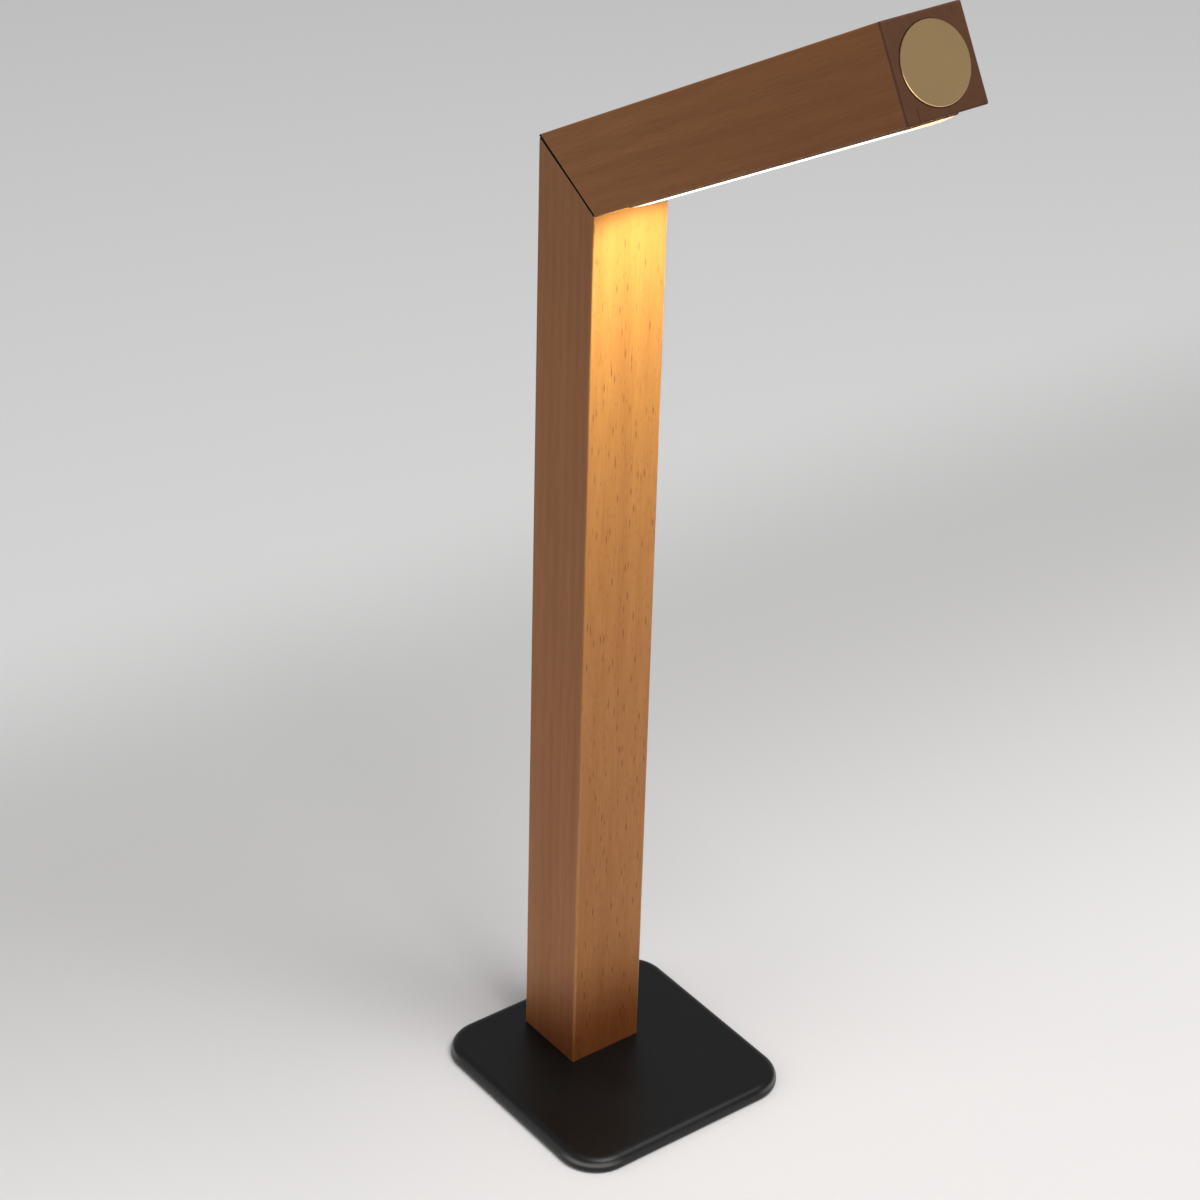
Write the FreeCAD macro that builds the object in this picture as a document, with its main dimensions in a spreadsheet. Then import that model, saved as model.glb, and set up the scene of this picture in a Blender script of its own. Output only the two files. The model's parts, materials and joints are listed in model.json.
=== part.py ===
import FreeCAD, Part
import math
import os
import re

import Sketcher
from FreeCAD import Placement, Rotation, Vector

# Portable table lamp: a square wooden post on a black steel plate, and a wooden arm that turns on the
# mitre at the post's top. Millimetres, +Z up, +X the way the arm points.
# The origin is the middle of the underside, where the lamp stands on the table.

doc = FreeCAD.newDocument("table_lamp")
sheet = doc.addObject("Spreadsheet::Sheet", "Sizes")

DRIVING_SIZES = [
    # both wooden bars
    ("bar_width", "30", "side of the square section of post and arm"),
    ("bar_edge_radius", "0.6", "rounding of the bars' edges"),
    ("corner_height", "366", "outer corner of the mitre above the table"),
    ("arm_length", "180.5", "top edge of the arm from the outer corner to its end"),
    ("arm_rise", "30", "degrees that the arm rises above the horizontal"),
    ("mitre_gap", "0.6", "open line between post and arm"),
    # fits that many pieces share
    ("seat_gap", "0.1", "clearance of a fixed piece in its seat"),
    ("run_gap", "0.05", "clearance of a piece that turns or slides in its guide"),
    ("overrun", "1", "how far a cut passes the face that it opens"),
    # base
    ("base_side", "95", "side of the square plate"),
    ("base_corner_radius", "15", "rounded corners of the plate"),
    ("base_thickness", "4.4", "steel plate"),
    ("base_edge_radius", "3.6", "rounded top edge of the plate"),
    ("pad_thickness", "1", "soft foot under the plate"),
    ("pad_inset", "1.2", "distance of the foot from the plate's edge"),
    ("post_setback", "20", "post's middle behind the plate's middle"),
    ("base_screw_radius", "2", "shank"),
    ("base_screw_head_radius", "3.8", "countersunk head"),
    ("base_screw_head_height", "1.9", "countersunk head"),
    ("base_screw_length", "14", "over all"),
    ("base_screw_socket_radius", "1.45", "hexagon socket, to its corners"),
    ("base_screw_socket_depth", "1.5", "hexagon socket"),
    ("base_screw_spacing", "10", "middle to middle"),
    # inside the post
    ("bore_radius", "10.25", "round bore of the post"),
    ("bore_headroom", "13", "bore's top below the middle of the mitre"),
    ("plug_length", "15", "metal plug in the foot of the bore"),
    ("carrier_height", "3.6", "plastic disc that carries one end of the board"),
    ("carrier_slot_depth", "1.6", "slot that holds the board's end"),
    ("board_length", "54", "charging board"),
    ("board_width", "15", "charging board"),
    ("board_thickness", "1.6", "charging board"),
    ("board_setback", "6.4", "board's back face behind the bore's middle"),
    ("charger_length", "5", "charging chip on the board"),
    ("charger_width", "4", "charging chip on the board"),
    ("charger_height", "1.2", "charging chip on the board"),
    ("coil_side", "6", "square coil on the board"),
    ("coil_height", "3", "square coil on the board"),
    ("capacitor_length", "3.2", "capacitors on the board"),
    ("capacitor_width", "1.8", "capacitors on the board"),
    ("capacitor_height", "1.5", "capacitors on the board"),
    ("inlet_height", "38", "middle of the charging inlet above the table"),
    ("socket_width", "8.9", "metal shell of the inlet"),
    ("socket_height", "3.3", "metal shell of the inlet"),
    ("socket_corner_radius", "1.3", "rounded corners of the shell"),
    ("socket_wall", "0.35", "sheet of the shell"),
    ("socket_depth", "5.6", "how far the mouth goes in"),
    ("socket_sunk", "0.5", "mouth behind the post's back face"),
    ("tongue_width", "6.6", "contact tongue in the mouth"),
    ("tongue_thickness", "0.7", "contact tongue in the mouth"),
    ("bezel_width", "13.4", "plastic surround of the inlet"),
    ("bezel_height", "7", "plastic surround of the inlet"),
    ("bezel_corner_radius", "2.6", "rounded corners of the surround"),
    ("bezel_thickness", "2.4", "plastic surround of the inlet"),
    ("cell_radius", "9.2", "round battery cell"),
    ("cell_length", "64.2", "cell without its raised end"),
    ("cell_nub_radius", "3", "raised end of the cell"),
    ("cell_nub_height", "0.8", "raised end of the cell"),
    ("contact_radius", "7.5", "brass discs at the cells' ends"),
    ("contact_thickness", "0.6", "brass discs at the cells' ends"),
    ("contact_spring_height", "5", "dished spring of the lower contact"),
    ("tube_wall", "0.6", "plastic tube round the cells"),
    ("clamp_length", "12", "ring that holds the cells down"),
    ("clamp_wall", "3", "ring that holds the cells down"),
    ("lead_radius", "1.1", "two-core lead"),
    ("lead_slot_gap", "0.2", "room round the lead in its groove"),
    ("lead_bend_radius", "15", "bends of the lead"),
    ("lead_joint_drop", "20.4", "solder joint of the lead below the board's top"),
    ("lead_step_height", "8", "straight run of the lead before it steps back to its groove"),
    ("lead_step_length", "12", "rise in which the lead steps back to its groove"),
    # swivel in the mitre
    ("plate_radius", "12.5", "round plates let into post and arm"),
    ("plate_thickness", "2.5", "round plates let into post and arm"),
    ("bolt_radius", "4", "hollow bolt"),
    ("bolt_bore_radius", "1.9", "way for the lead through the bolt"),
    ("bolt_head_radius", "6", "hexagon head of the bolt, to its corners, on the arm's side"),
    ("bolt_head_height", "2", "hexagon head of the bolt"),
    ("bolt_tail", "0.8", "bolt past its nut"),
    ("bush_wall", "0.8", "bush between bolt and post plate"),
    ("stop_circle_radius", "6.9", "stop pin from the swivel's axis"),
    ("stop_pin_radius", "1", "stop pin"),
    ("swivel_turn", "180", "degrees from stop to stop"),
    ("washer_radius", "5.6", "all washers"),
    ("friction_washer_thickness", "0.8", "fibre washer under the post plate"),
    ("spring_washer_thickness", "0.7", "dished steel washer"),
    ("spring_washer_dish", "0.5", "height of the dish"),
    ("nut_radius", "5.9", "thin hexagon nut, across its corners"),
    ("nut_height", "3.2", "thin hexagon nut"),
    ("pocket_room", "0.8", "room round nut and bolt head in the wood"),
    ("pocket_depth", "12", "pocket of the nut below the mitre"),
    ("head_pocket_depth", "7", "pocket of the bolt's head above the mitre"),
    ("post_way_depth", "21", "drilled way of the lead from the mitre to the bore"),
    ("plate_screw_circle_radius", "10.3", "screws from the swivel's axis"),
    ("plate_screw_radius", "1", "shank"),
    ("plate_screw_head_radius", "1.9", "countersunk head"),
    ("plate_screw_head_height", "0.9", "countersunk head"),
    ("plate_screw_length", "9", "over all"),
    ("plate_screw_socket_radius", "0.75", "hexagon socket, to its corners"),
    ("plate_screw_socket_depth", "0.7", "hexagon socket"),
    # light strip under the arm
    ("strip_width", "20", "metal channel and diffuser"),
    ("strip_start", "13.5", "groove from the inner corner of the mitre"),
    ("strip_end", "8", "groove from the arm's end"),
    ("channel_height", "6", "metal channel"),
    ("channel_wall", "1.2", "metal channel"),
    ("channel_floor", "1.5", "metal channel"),
    ("channel_screw_radius", "1.2", "shank"),
    ("channel_screw_head_radius", "2.3", "countersunk head"),
    ("channel_screw_head_height", "1.1", "countersunk head"),
    ("channel_screw_length", "8", "over all"),
    ("channel_screw_socket_radius", "0.9", "hexagon socket, to its corners"),
    ("channel_screw_socket_depth", "0.8", "hexagon socket"),
    ("channel_screw_inset", "34", "screws from the groove's ends"),
    ("cap_thickness", "1.6", "caps at the channel's ends"),
    ("diffuser_proud", "1.2", "arched diffuser below the arm's underside"),
    ("diffuser_edge_height", "0.4", "long edges of the diffuser below the arm's underside"),
    ("diffuser_lip_height", "2.2", "lips that snap into the channel"),
    ("diffuser_lip_wall", "1.1", "lips that snap into the channel"),
    ("strip_board_width", "12", "board of the lights"),
    ("strip_board_thickness", "1.2", "board of the lights"),
    ("chip_length", "3.5", "one light"),
    ("chip_width", "2.8", "one light"),
    ("chip_height", "0.7", "one light"),
    ("arm_way_radius", "4.4", "long drilled way of the lead in the arm"),
    ("arm_way_drop", "13", "middle of that way below the arm's top face"),
    ("led_lead_inset", "26", "lead of the lights from the groove's far end"),
    # switch in the arm's end
    ("disc_radius", "12.4", "brass disc"),
    ("disc_thickness", "2.2", "brass disc"),
    ("disc_proud", "0.6", "disc outside the arm's end face"),
    ("disc_edge_radius", "0.35", "rounded rim"),
    ("disc_gap", "0.2", "open ring round the disc"),
    ("press_travel", "0.8", "stroke of the switch"),
    ("press_spare", "0.2", "room left under the disc and the stem at full stroke"),
    ("stem_radius", "3", "stem of the disc"),
    ("stem_length", "10.8", "from the disc's back to the stem's end"),
    ("housing_radius", "7.4", "plastic housing in the arm"),
    ("housing_length", "7", "guide of the stem"),
    ("housing_wall", "1.5", "skirt that holds the switch down"),
    ("clip_radius", "4.6", "clip that keeps the stem in"),
    ("clip_thickness", "0.7", "clip that keeps the stem in"),
    ("clip_groove_depth", "0.8", "groove of the clip"),
    ("plunger_radius", "1.5", "plunger of the switch"),
    ("plunger_length", "3", "plunger of the switch"),
    ("module_height", "7", "sealed push switch"),
]

DERIVED_SIZES = [
    ("half_bar", "=bar_width / 2"),
    ("mitre_tilt", "=(90 - arm_rise) / 2"),
    ("mitre_drop", "=bar_width * tan(mitre_tilt)"),
    ("mitre_trim", "=mitre_gap / 2 / cos(mitre_tilt)"),
    ("foot_height", "=pad_thickness + base_thickness"),
    ("pivot_height", "=corner_height - mitre_drop / 2"),
    ("bore_length", "=pivot_height - bore_headroom - foot_height"),
    ("plug_top", "=foot_height + plug_length"),
    ("board_foot", "=plug_top + carrier_height - carrier_slot_depth"),
    ("board_top", "=board_foot + board_length"),
    ("contact_floor", "=board_top - carrier_slot_depth + carrier_height"),
    ("cell_floor", "=contact_floor + contact_thickness + contact_spring_height"),
    ("cell_pitch", "=cell_length + cell_nub_height"),
    ("cell_ceiling", "=cell_floor + 2 * cell_pitch"),
    ("clamp_floor", "=cell_ceiling + contact_thickness"),
    ("tube_radius", "=bore_radius - seat_gap"),
    ("lead_groove_setback", "=bore_radius + lead_radius"),
    ("lead_foot_height", "=board_top - lead_joint_drop"),
    ("lead_start_setback", "=board_setback + lead_radius"),
    ("lead_slot_depth", "=lead_groove_setback + lead_radius + lead_slot_gap"),
    ("lead_slot_top", "=pivot_height - (post_way_depth - lead_radius) * cos(mitre_tilt)"),
    ("plate_depth", "=mitre_gap / 2 + plate_thickness"),
    ("bush_radius", "=bolt_radius + run_gap + bush_wall"),
    ("spring_washer_height", "=spring_washer_thickness + spring_washer_dish"),
    ("stack_depth", "=plate_depth + friction_washer_thickness + spring_washer_height"),
    ("groove_from", "=mitre_drop + strip_start"),
    ("groove_to", "=arm_length - strip_end"),
    ("channel_from", "=groove_from + cap_thickness"),
    ("channel_to", "=groove_to - cap_thickness"),
    ("channel_length", "=channel_to - channel_from"),
    ("channel_inner", "=strip_width - 2 * channel_wall"),
    ("strip_floor", "=bar_width - channel_height"),
    ("strip_board_top", "=strip_floor + channel_floor"),
    ("diffuser_rise", "=diffuser_proud - diffuser_edge_height"),
    ("diffuser_arch_radius", "=((strip_width / 2) ^ 2 + diffuser_rise ^ 2) / (2 * diffuser_rise)"),
    ("arm_lead_drop", "=half_bar - head_pocket_depth * sin(mitre_tilt)"),
    ("disc_sunk", "=disc_thickness - disc_proud"),
    ("recess_depth", "=disc_sunk + press_travel + press_spare"),
    ("guide_depth", "=recess_depth + housing_length"),
    ("stem_depth", "=disc_sunk + stem_length"),
    ("module_depth", "=stem_depth + press_travel + press_spare"),
    ("switch_depth", "=module_depth + module_height"),
    ("switch_floor", "=arm_length - switch_depth"),
]

CHIP_PITCH_SHARE = 2.4      # pitch of the lights as a share of their length
# places on the charging board, as shares of its length from its foot and of its width from its middle
CHARGER_SHARES = (0.36, 0)
COIL_SHARES = (0.56, 0)
CAPACITOR_SHARES = ((0.2, -0.22), (0.2, 0.22), (0.74, 0))
HEXAGON_SIDES = 6
SIDES = ("-", "")           # signs of a pair on either side of a middle

for row, (alias, text, note) in enumerate(DRIVING_SIZES, 1):
    sheet.set(f"A{row}", note)
    sheet.set(f"B{row}", text)
    sheet.setAlias(f"B{row}", alias)
for row, (alias, formula) in enumerate(DERIVED_SIZES, 1):
    sheet.set(f"D{row}", formula)
    sheet.setAlias(f"D{row}", alias)
doc.recompute()

ALIASES = {entry[0] for entry in DRIVING_SIZES + DERIVED_SIZES}
pieces = []


def value(expression):
    """The number that an expression of sheet names gives now."""
    return float(sheet.evalExpression(expression))


def bind(thing, member, expression):
    """Ties one property to an expression of sheet names."""
    def sheet_name(match):
        word = match.group()
        return f"Sizes.{word}" if word in ALIASES else word
    thing.setExpression(member, re.sub(r"[a-z_]+", sheet_name, expression))


def at(frame, x="0", y="0", z="0", turn=Rotation()):
    """A place in a frame, given by expressions."""
    return frame * Placement(Vector(value(x), value(y), value(z)), turn)


def piece(thing):
    """Puts a finished object on the list of sub-parts."""
    pieces.append(thing)
    return thing


# Frames that the sub-parts are placed in
TURN_OVER = Rotation(Vector(1, 0, 0), 180)
STAND = Placement()
POST = at(STAND, "-post_setback")
PIVOT = at(POST, z="pivot_height", turn=Rotation(Vector(0, 1, 0), value("mitre_tilt")))
ARM = at(POST, "-half_bar", z="corner_height", turn=Rotation(Vector(0, 1, 0), -value("arm_rise")))
# z of this frame points out of the arm's end face, through the middle of the brass disc
SWITCH = at(ARM, "arm_length", z="-half_bar", turn=Rotation(Vector(0, 1, 0), 90))


def sketch_on(body, role, outline):
    """A closed outline of straight lines, each corner tied to two expressions."""
    sketch = body.newObject("Sketcher::SketchObject", body.Name + "_outline")
    plane = next(feature for feature in body.Origin.OriginFeatures if feature.Role == role)
    sketch.AttachmentSupport = [(plane, "")]
    sketch.MapMode = "FlatFace"
    corners = [Vector(value(x), value(y), 0) for x, y in outline]
    count = len(corners)
    for index, corner in enumerate(corners):
        sketch.addGeometry(Part.LineSegment(corner, corners[(index + 1) % count]), False)
    for index in range(count):
        sketch.addConstraint(Sketcher.Constraint("Coincident", index, 2, (index + 1) % count, 1))
    for index, (x, y) in enumerate(outline):
        for kind, axis, expression in (("DistanceX", -2, x), ("DistanceY", -1, y)):
            if expression == "0":
                sketch.addConstraint(Sketcher.Constraint("PointOnObject", index, 1, axis))
                continue
            constraint = Sketcher.Constraint(kind, -1, 1, index, 1, value(expression))
            bind(sketch, f"Constraints[{sketch.addConstraint(constraint)}]", expression)
    return sketch


def turned(label, outline, frame):
    """A piece turned about the frame's z axis, from corners given as radius and height."""
    body = doc.addObject("PartDesign::Body", label)
    sketch = sketch_on(body, "XZ_Plane", outline)
    revolution = body.newObject("PartDesign::Revolution", label + "_turn")
    revolution.Profile = sketch
    revolution.ReferenceAxis = (sketch, ["V_Axis"])
    revolution.Angle = 360
    body.Placement = frame
    return body


def ring(label, inner, outer, bottom, top, frame):
    """A turned ring between two radii and two heights."""
    return turned(label, [(inner, bottom), (outer, bottom), (outer, top), (inner, top)], frame)


def drum(label, radius, bottom, top, frame):
    """A turned solid cylinder between two heights."""
    return ring(label, "0", radius, bottom, top, frame)


def extruded(label, outline, width, frame):
    """A side view in the frame's x and z, as wide as given, half to each side."""
    body = doc.addObject("PartDesign::Body", label)
    pad = body.newObject("PartDesign::Pad", label + "_pad")
    pad.Profile = sketch_on(body, "XZ_Plane", outline)
    pad.SideType = "Symmetric"
    bind(pad, "Length", width)
    body.Tip = pad
    body.Placement = frame
    return body


def slab(label, length, width, thickness, frame):
    """A rectangle centred in the frame's x and y, thickened along its z."""
    body = doc.addObject("PartDesign::Body", label)
    outline = [(f"{sx}({length}) / 2", f"{sy}({width}) / 2")
               for sx, sy in (("-", "-"), ("", "-"), ("", ""), ("-", ""))]
    pad = body.newObject("PartDesign::Pad", label + "_pad")
    pad.Profile = sketch_on(body, "XY_Plane", outline)
    bind(pad, "Length", thickness)
    body.Tip = pad
    body.Placement = frame
    return body


def rounded(body, radius, wanted):
    """Rounds the edges of a body's last feature that a test picks."""
    doc.recompute()
    last = body.Tip
    names = [f"Edge{index}" for index, edge in enumerate(last.Shape.Edges, 1) if wanted(edge)]
    fillet = body.newObject("PartDesign::Fillet", body.Name + "_round")
    fillet.Base = (last, names)
    bind(fillet, "Radius", radius)
    body.Tip = fillet
    return body


def upright(edge):
    """True for a straight edge along z."""
    direction = edge.tangentAt(edge.FirstParameter)
    return abs(direction.z) > math.cos(math.radians(1))


def level_at(height):
    """A test for edges that lie wholly at one height."""
    level = value(height)
    return lambda edge: max(abs(vertex.Z - level) for vertex in edge.Vertexes) < value("run_gap")


def above(height):
    """A test for edges with some end above a height."""
    level = value(height)
    return lambda edge: max(vertex.Z for vertex in edge.Vertexes) > level + value("run_gap")


def hexagon(label, radius, height, frame):
    """An upright six-sided bar, its radius to the corners."""
    prism = doc.addObject("Part::Prism", label)
    prism.Polygon = HEXAGON_SIDES
    bind(prism, "Circumradius", radius)
    bind(prism, "Height", height)
    prism.Placement = frame
    return prism


def joined(label, shapes):
    """One solid from shapes that touch or overlap."""
    result = doc.addObject("Part::MultiFuse", label)
    result.Shapes = shapes
    return result


def cut(label, base, tools):
    """What is left of a blank after all its cuts."""
    result = doc.addObject("Part::Cut", label)
    result.Base = base
    result.Tool = joined(label + "_cuts", tools) if len(tools) > 1 else tools[0]
    return result


def group(label, members):
    """Like pieces that share one node, each a solid of its own."""
    result = doc.addObject("Part::Compound", label)
    result.Links = members
    return result


def screw(label, size, frame):
    """A countersunk socket screw that points down the frame's z from its head's face at zero."""
    neck = f"{size}_radius"
    depth = f"{size}_socket_depth"
    blank = turned(label + "_blank", [
        ("0", f"-{size}_length"), (neck, f"-{size}_length"), (neck, f"-{size}_head_height"),
        (f"{size}_head_radius", "0"), ("0", "0"),
    ], frame)
    socket = hexagon(label + "_socket", f"{size}_socket_radius", f"{depth} + overrun",
                     at(frame, z=f"-{depth}"))
    return cut(label, blank, [socket])


def screw_hole(label, size, frame):
    """The hole of that screw, with its seat gap and a mouth that opens the face."""
    neck = f"{size}_radius + seat_gap"
    head = f"{size}_head_radius + seat_gap"
    end = f"-{size}_length - seat_gap"
    return turned(label, [("0", end), (neck, end), (neck, f"-{size}_head_height"), (head, "0"),
                          (head, "overrun"), ("0", "overrun")], frame)


def screws(label, size, frames):
    """Like screws as one node."""
    return group(label, [screw(f"{label}_{index}", size, frame) for index, frame in enumerate(frames, 1)])


def screw_holes(label, size, frames):
    """The holes of like screws."""
    return [screw_hole(f"{label}_{index}", size, frame) for index, frame in enumerate(frames, 1)]


def lead(label, corners):
    """A lead along straight runs joined by tangent arcs of the sheet's bend radius."""
    bend = value("lead_bend_radius")
    start, end = corners[0], corners[-1]
    edges = []
    here = start
    for before, corner, after in zip(corners, corners[1:], corners[2:]):
        come = (corner - before).normalize()
        leave = (after - corner).normalize()
        half_turn = come.getAngle(leave) / 2
        reach = bend * math.tan(half_turn)
        enter = corner - come * reach
        depart = corner + leave * reach
        inward = (leave - come).normalize()
        crown = corner + inward * (bend / math.cos(half_turn) - bend)
        edges += [Part.LineSegment(here, enter).toShape(), Part.Arc(enter, crown, depart).toShape()]
        here = depart
    edges.append(Part.LineSegment(here, end).toShape())
    path = Part.Wire(edges)
    direction = corners[1] - start
    section = Part.Wire(Part.Circle(start, direction, value("lead_radius")).toShape())
    result = doc.addObject("Part::Feature", label)
    result.Shape = path.makePipeShell([section], True, False)
    expected = math.pi * value("lead_radius") ** 2 * path.Length
    print(f"{label}: length {path.Length:.1f} mm, volume ratio {result.Shape.Volume / expected:.4f}")
    return result


# Base: plate with rounded corners, its soft foot, and the screws that pull the plug down
base_frame = at(STAND, z="pad_thickness")
base_blank = slab("base_blank", "base_side", "base_side", "base_thickness", base_frame)
rounded(base_blank, "base_corner_radius", upright)
rounded(base_blank, "base_edge_radius", level_at("base_thickness"))
base_screw_frames = [at(POST, y=f"{side}base_screw_spacing / 2", z="pad_thickness", turn=TURN_OVER)
                     for side in SIDES]
piece(cut("base_plate", base_blank, screw_holes("base_hole", "base_screw", base_screw_frames)))
base_pad = slab("base_pad", "base_side - 2 * pad_inset", "base_side - 2 * pad_inset", "pad_thickness", STAND)
piece(rounded(base_pad, "base_corner_radius - pad_inset", upright))
piece(screws("base_screws", "base_screw", base_screw_frames))

# Post: mitred bar with a bore for the cells, a groove for the lead, the inlet's hole and the swivel's seat
post_blank = extruded("post_blank", [
    ("-half_bar", "foot_height"), ("half_bar", "foot_height"),
    ("half_bar", "corner_height - mitre_drop - mitre_trim"), ("-half_bar", "corner_height - mitre_trim"),
], "bar_width", POST)
rounded(post_blank, "bar_edge_radius", above("foot_height"))
# z of this frame points out of the post's back face, through the middle of the charging inlet
BACK = at(POST, "-half_bar", z="inlet_height", turn=Rotation(Vector(0, 1, 0), -90))


def oblong(label, width, height, radius, bottom, top, gap="0"):
    """An upright bar with rounded corners between two distances from the post's back face."""
    thickness = f"({top}) - ({bottom})"
    body = slab(label, f"{height} + 2 * {gap}", f"{width} + 2 * {gap}", thickness, at(BACK, z=bottom))
    return rounded(body, f"{radius} + {gap}", upright)


socket_room = oblong("socket_room", "socket_width", "socket_height", "socket_corner_radius",
                     "-half_bar", "overrun", "seat_gap")
bezel_room = oblong("bezel_room", "bezel_width", "bezel_height", "bezel_corner_radius",
                    "-bezel_thickness", "overrun", "seat_gap")
lead_slot = slab("lead_slot", "lead_slot_depth", "2 * (lead_radius + lead_slot_gap)",
                 "lead_slot_top - lead_foot_height", at(POST, "-lead_slot_depth / 2", z="lead_foot_height"))
post_screw_frames = [at(PIVOT, y=f"{side}plate_screw_circle_radius", z="-mitre_gap / 2") for side in SIDES]
post_cuts = [
    drum("post_bore", "bore_radius", "foot_height - overrun", "foot_height + bore_length", POST),
    lead_slot,
    socket_room,
    bezel_room,
    drum("post_plate_seat", "plate_radius + seat_gap", "-plate_depth", "overrun", PIVOT),
    drum("nut_pocket", "nut_radius + pocket_room", "-pocket_depth", "overrun", PIVOT),
    drum("post_way", "lead_radius + lead_slot_gap", "-post_way_depth", "0", PIVOT),
]
piece(cut("post", post_blank, post_cuts + screw_holes("post_pilot", "plate_screw", post_screw_frames)))

# Inside the post, from the foot up
plug_blank = drum("plug_blank", "tube_radius", "foot_height", "plug_top", POST)
piece(cut("post_foot_plug", plug_blank, screw_holes("plug_hole", "base_screw", base_screw_frames)))
BOARD = at(POST, "board_thickness / 2 - board_setback")
board_slot_length = "carrier_slot_depth + overrun"
lower_slot = slab("lower_slot", "board_thickness + 2 * seat_gap", "board_width + 2 * seat_gap",
                  board_slot_length, at(BOARD, z="board_foot"))
upper_slot = slab("upper_slot", "board_thickness + 2 * seat_gap", "board_width + 2 * seat_gap",
                  board_slot_length, at(BOARD, z="board_top - carrier_slot_depth - overrun"))
lead_notch = drum("lead_notch", "2 * lead_radius", "contact_floor - carrier_height - overrun", "cell_floor",
                  at(POST, "-lead_groove_setback"))
carrier_blank = drum("carrier_blank", "tube_radius", "plug_top", "plug_top + carrier_height", POST)
piece(cut("board_carrier", carrier_blank, [lower_slot]))
piece(slab("charge_board", "board_thickness", "board_width", "board_length", at(BOARD, z="board_foot")))
# z of this frame points out of the board's front face, and its x runs down from the board's foot
BOARD_FRONT = at(POST, "board_thickness - board_setback", z="board_foot", turn=Rotation(Vector(0, 1, 0), 90))


def board_part(label, shares, length, width, height):
    """A flat-topped part soldered to the front of the charging board."""
    along, across = shares
    place = at(BOARD_FRONT, f"-{along} * board_length", f"{across} * board_width")
    return slab(label, length, width, height, place)


board_parts = [
    board_part("charger", CHARGER_SHARES, "charger_length", "charger_width", "charger_height"),
    board_part("coil", COIL_SHARES, "coil_side", "coil_side", "coil_height"),
]
for index, shares in enumerate(CAPACITOR_SHARES, 1):
    board_parts.append(board_part(f"capacitor_{index}", shares,
                                  "capacitor_length", "capacitor_width", "capacitor_height"))
piece(group("board_components", board_parts))
contact_blank = drum("contact_blank", "tube_radius", "contact_floor - carrier_height", "contact_floor", POST)
piece(cut("contact_carrier", contact_blank, [upper_slot, lead_notch]))
socket_blank = oblong("socket_blank", "socket_width", "socket_height", "socket_corner_radius",
                      "board_setback - half_bar", "-socket_sunk")
socket_mouth = oblong("socket_mouth", "socket_width - 2 * socket_wall", "socket_height - 2 * socket_wall",
                      "socket_corner_radius - socket_wall", "-socket_sunk - socket_depth", "overrun")
socket_shell = cut("socket_shell", socket_blank, [socket_mouth])
tongue = slab("socket_tongue", "tongue_thickness", "tongue_width", "socket_depth",
              at(BACK, z="-socket_sunk - socket_depth"))
piece(joined("charge_socket", [socket_shell, tongue]))
bezel_blank = oblong("bezel_blank", "bezel_width", "bezel_height", "bezel_corner_radius",
                     "-bezel_thickness", "0")
bezel_mouth = oblong("bezel_mouth", "socket_width", "socket_height", "socket_corner_radius",
                     "-bezel_thickness - overrun", "overrun", "seat_gap")
piece(cut("charge_bezel", bezel_blank, [bezel_mouth]))

spring_foot = "contact_floor + contact_thickness"
piece(turned("lower_contact", [
    ("0", "contact_floor"), ("contact_radius", "contact_floor"), ("contact_radius", spring_foot),
    ("cell_nub_radius + contact_thickness", "cell_floor"), ("0", "cell_floor"),
], POST))
for name, number in (("battery_cell_lower", "0"), ("battery_cell_upper", "1")):
    foot = f"cell_floor + {number} * cell_pitch"
    piece(turned(name, [
        ("0", foot), ("cell_radius", foot), ("cell_radius", f"{foot} + cell_length"),
        ("cell_nub_radius", f"{foot} + cell_length"), ("cell_nub_radius", f"{foot} + cell_pitch"),
        ("0", f"{foot} + cell_pitch"),
    ], POST))
piece(drum("upper_contact", "contact_radius", "cell_ceiling", "clamp_floor", POST))
piece(ring("battery_tube", "tube_radius - tube_wall", "tube_radius", "contact_floor", "clamp_floor", POST))
piece(ring("cell_clamp", "tube_radius - clamp_wall", "tube_radius",
           "clamp_floor", "clamp_floor + clamp_length", POST))

# Swivel, on the post's side: plate with a bush and an arc slot for the stop, and the washers under it
slot_reach = "stop_pin_radius + seat_gap"
slot_sector = doc.addObject("Part::Cylinder", "slot_sector")
bind(slot_sector, "Radius", f"stop_circle_radius + {slot_reach}")
bind(slot_sector, "Height", "plate_thickness + 2 * overrun")
bind(slot_sector, "Angle", "swivel_turn")
slot_sector.Placement = at(PIVOT, z="-plate_depth - overrun", turn=Rotation(Vector(0, 0, 1), -90))
slot_core = drum("slot_core", f"stop_circle_radius - ({slot_reach})",
                 "-plate_depth - 2 * overrun", "overrun", PIVOT)
slot_arc = cut("slot_arc", slot_sector, [slot_core])
STOP_ENDS = [PIVOT * Placement(Vector(), Rotation(Vector(0, 0, 1), angle))
             for angle in (-90, value("swivel_turn") - 90)]
slot_ends = [drum(f"slot_end_{index}", slot_reach, "-plate_depth - overrun", "overrun",
                  at(frame, "stop_circle_radius")) for index, frame in enumerate(STOP_ENDS, 1)]
bush_hole = drum("bush_hole", "bush_radius + seat_gap", "-plate_depth - overrun", "overrun", PIVOT)
post_plate_blank = drum("post_plate_blank", "plate_radius", "-plate_depth", "-mitre_gap / 2", PIVOT)
post_plate_holes = screw_holes("post_plate_hole", "plate_screw", post_screw_frames)
piece(cut("post_pivot_plate", post_plate_blank, [bush_hole, slot_arc] + slot_ends + post_plate_holes))
piece(screws("post_plate_screws", "plate_screw", post_screw_frames))
bolt_room = "bolt_radius + run_gap"
piece(ring("pivot_bush", bolt_room, "bush_radius", "-plate_depth", "-mitre_gap / 2", PIVOT))
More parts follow.
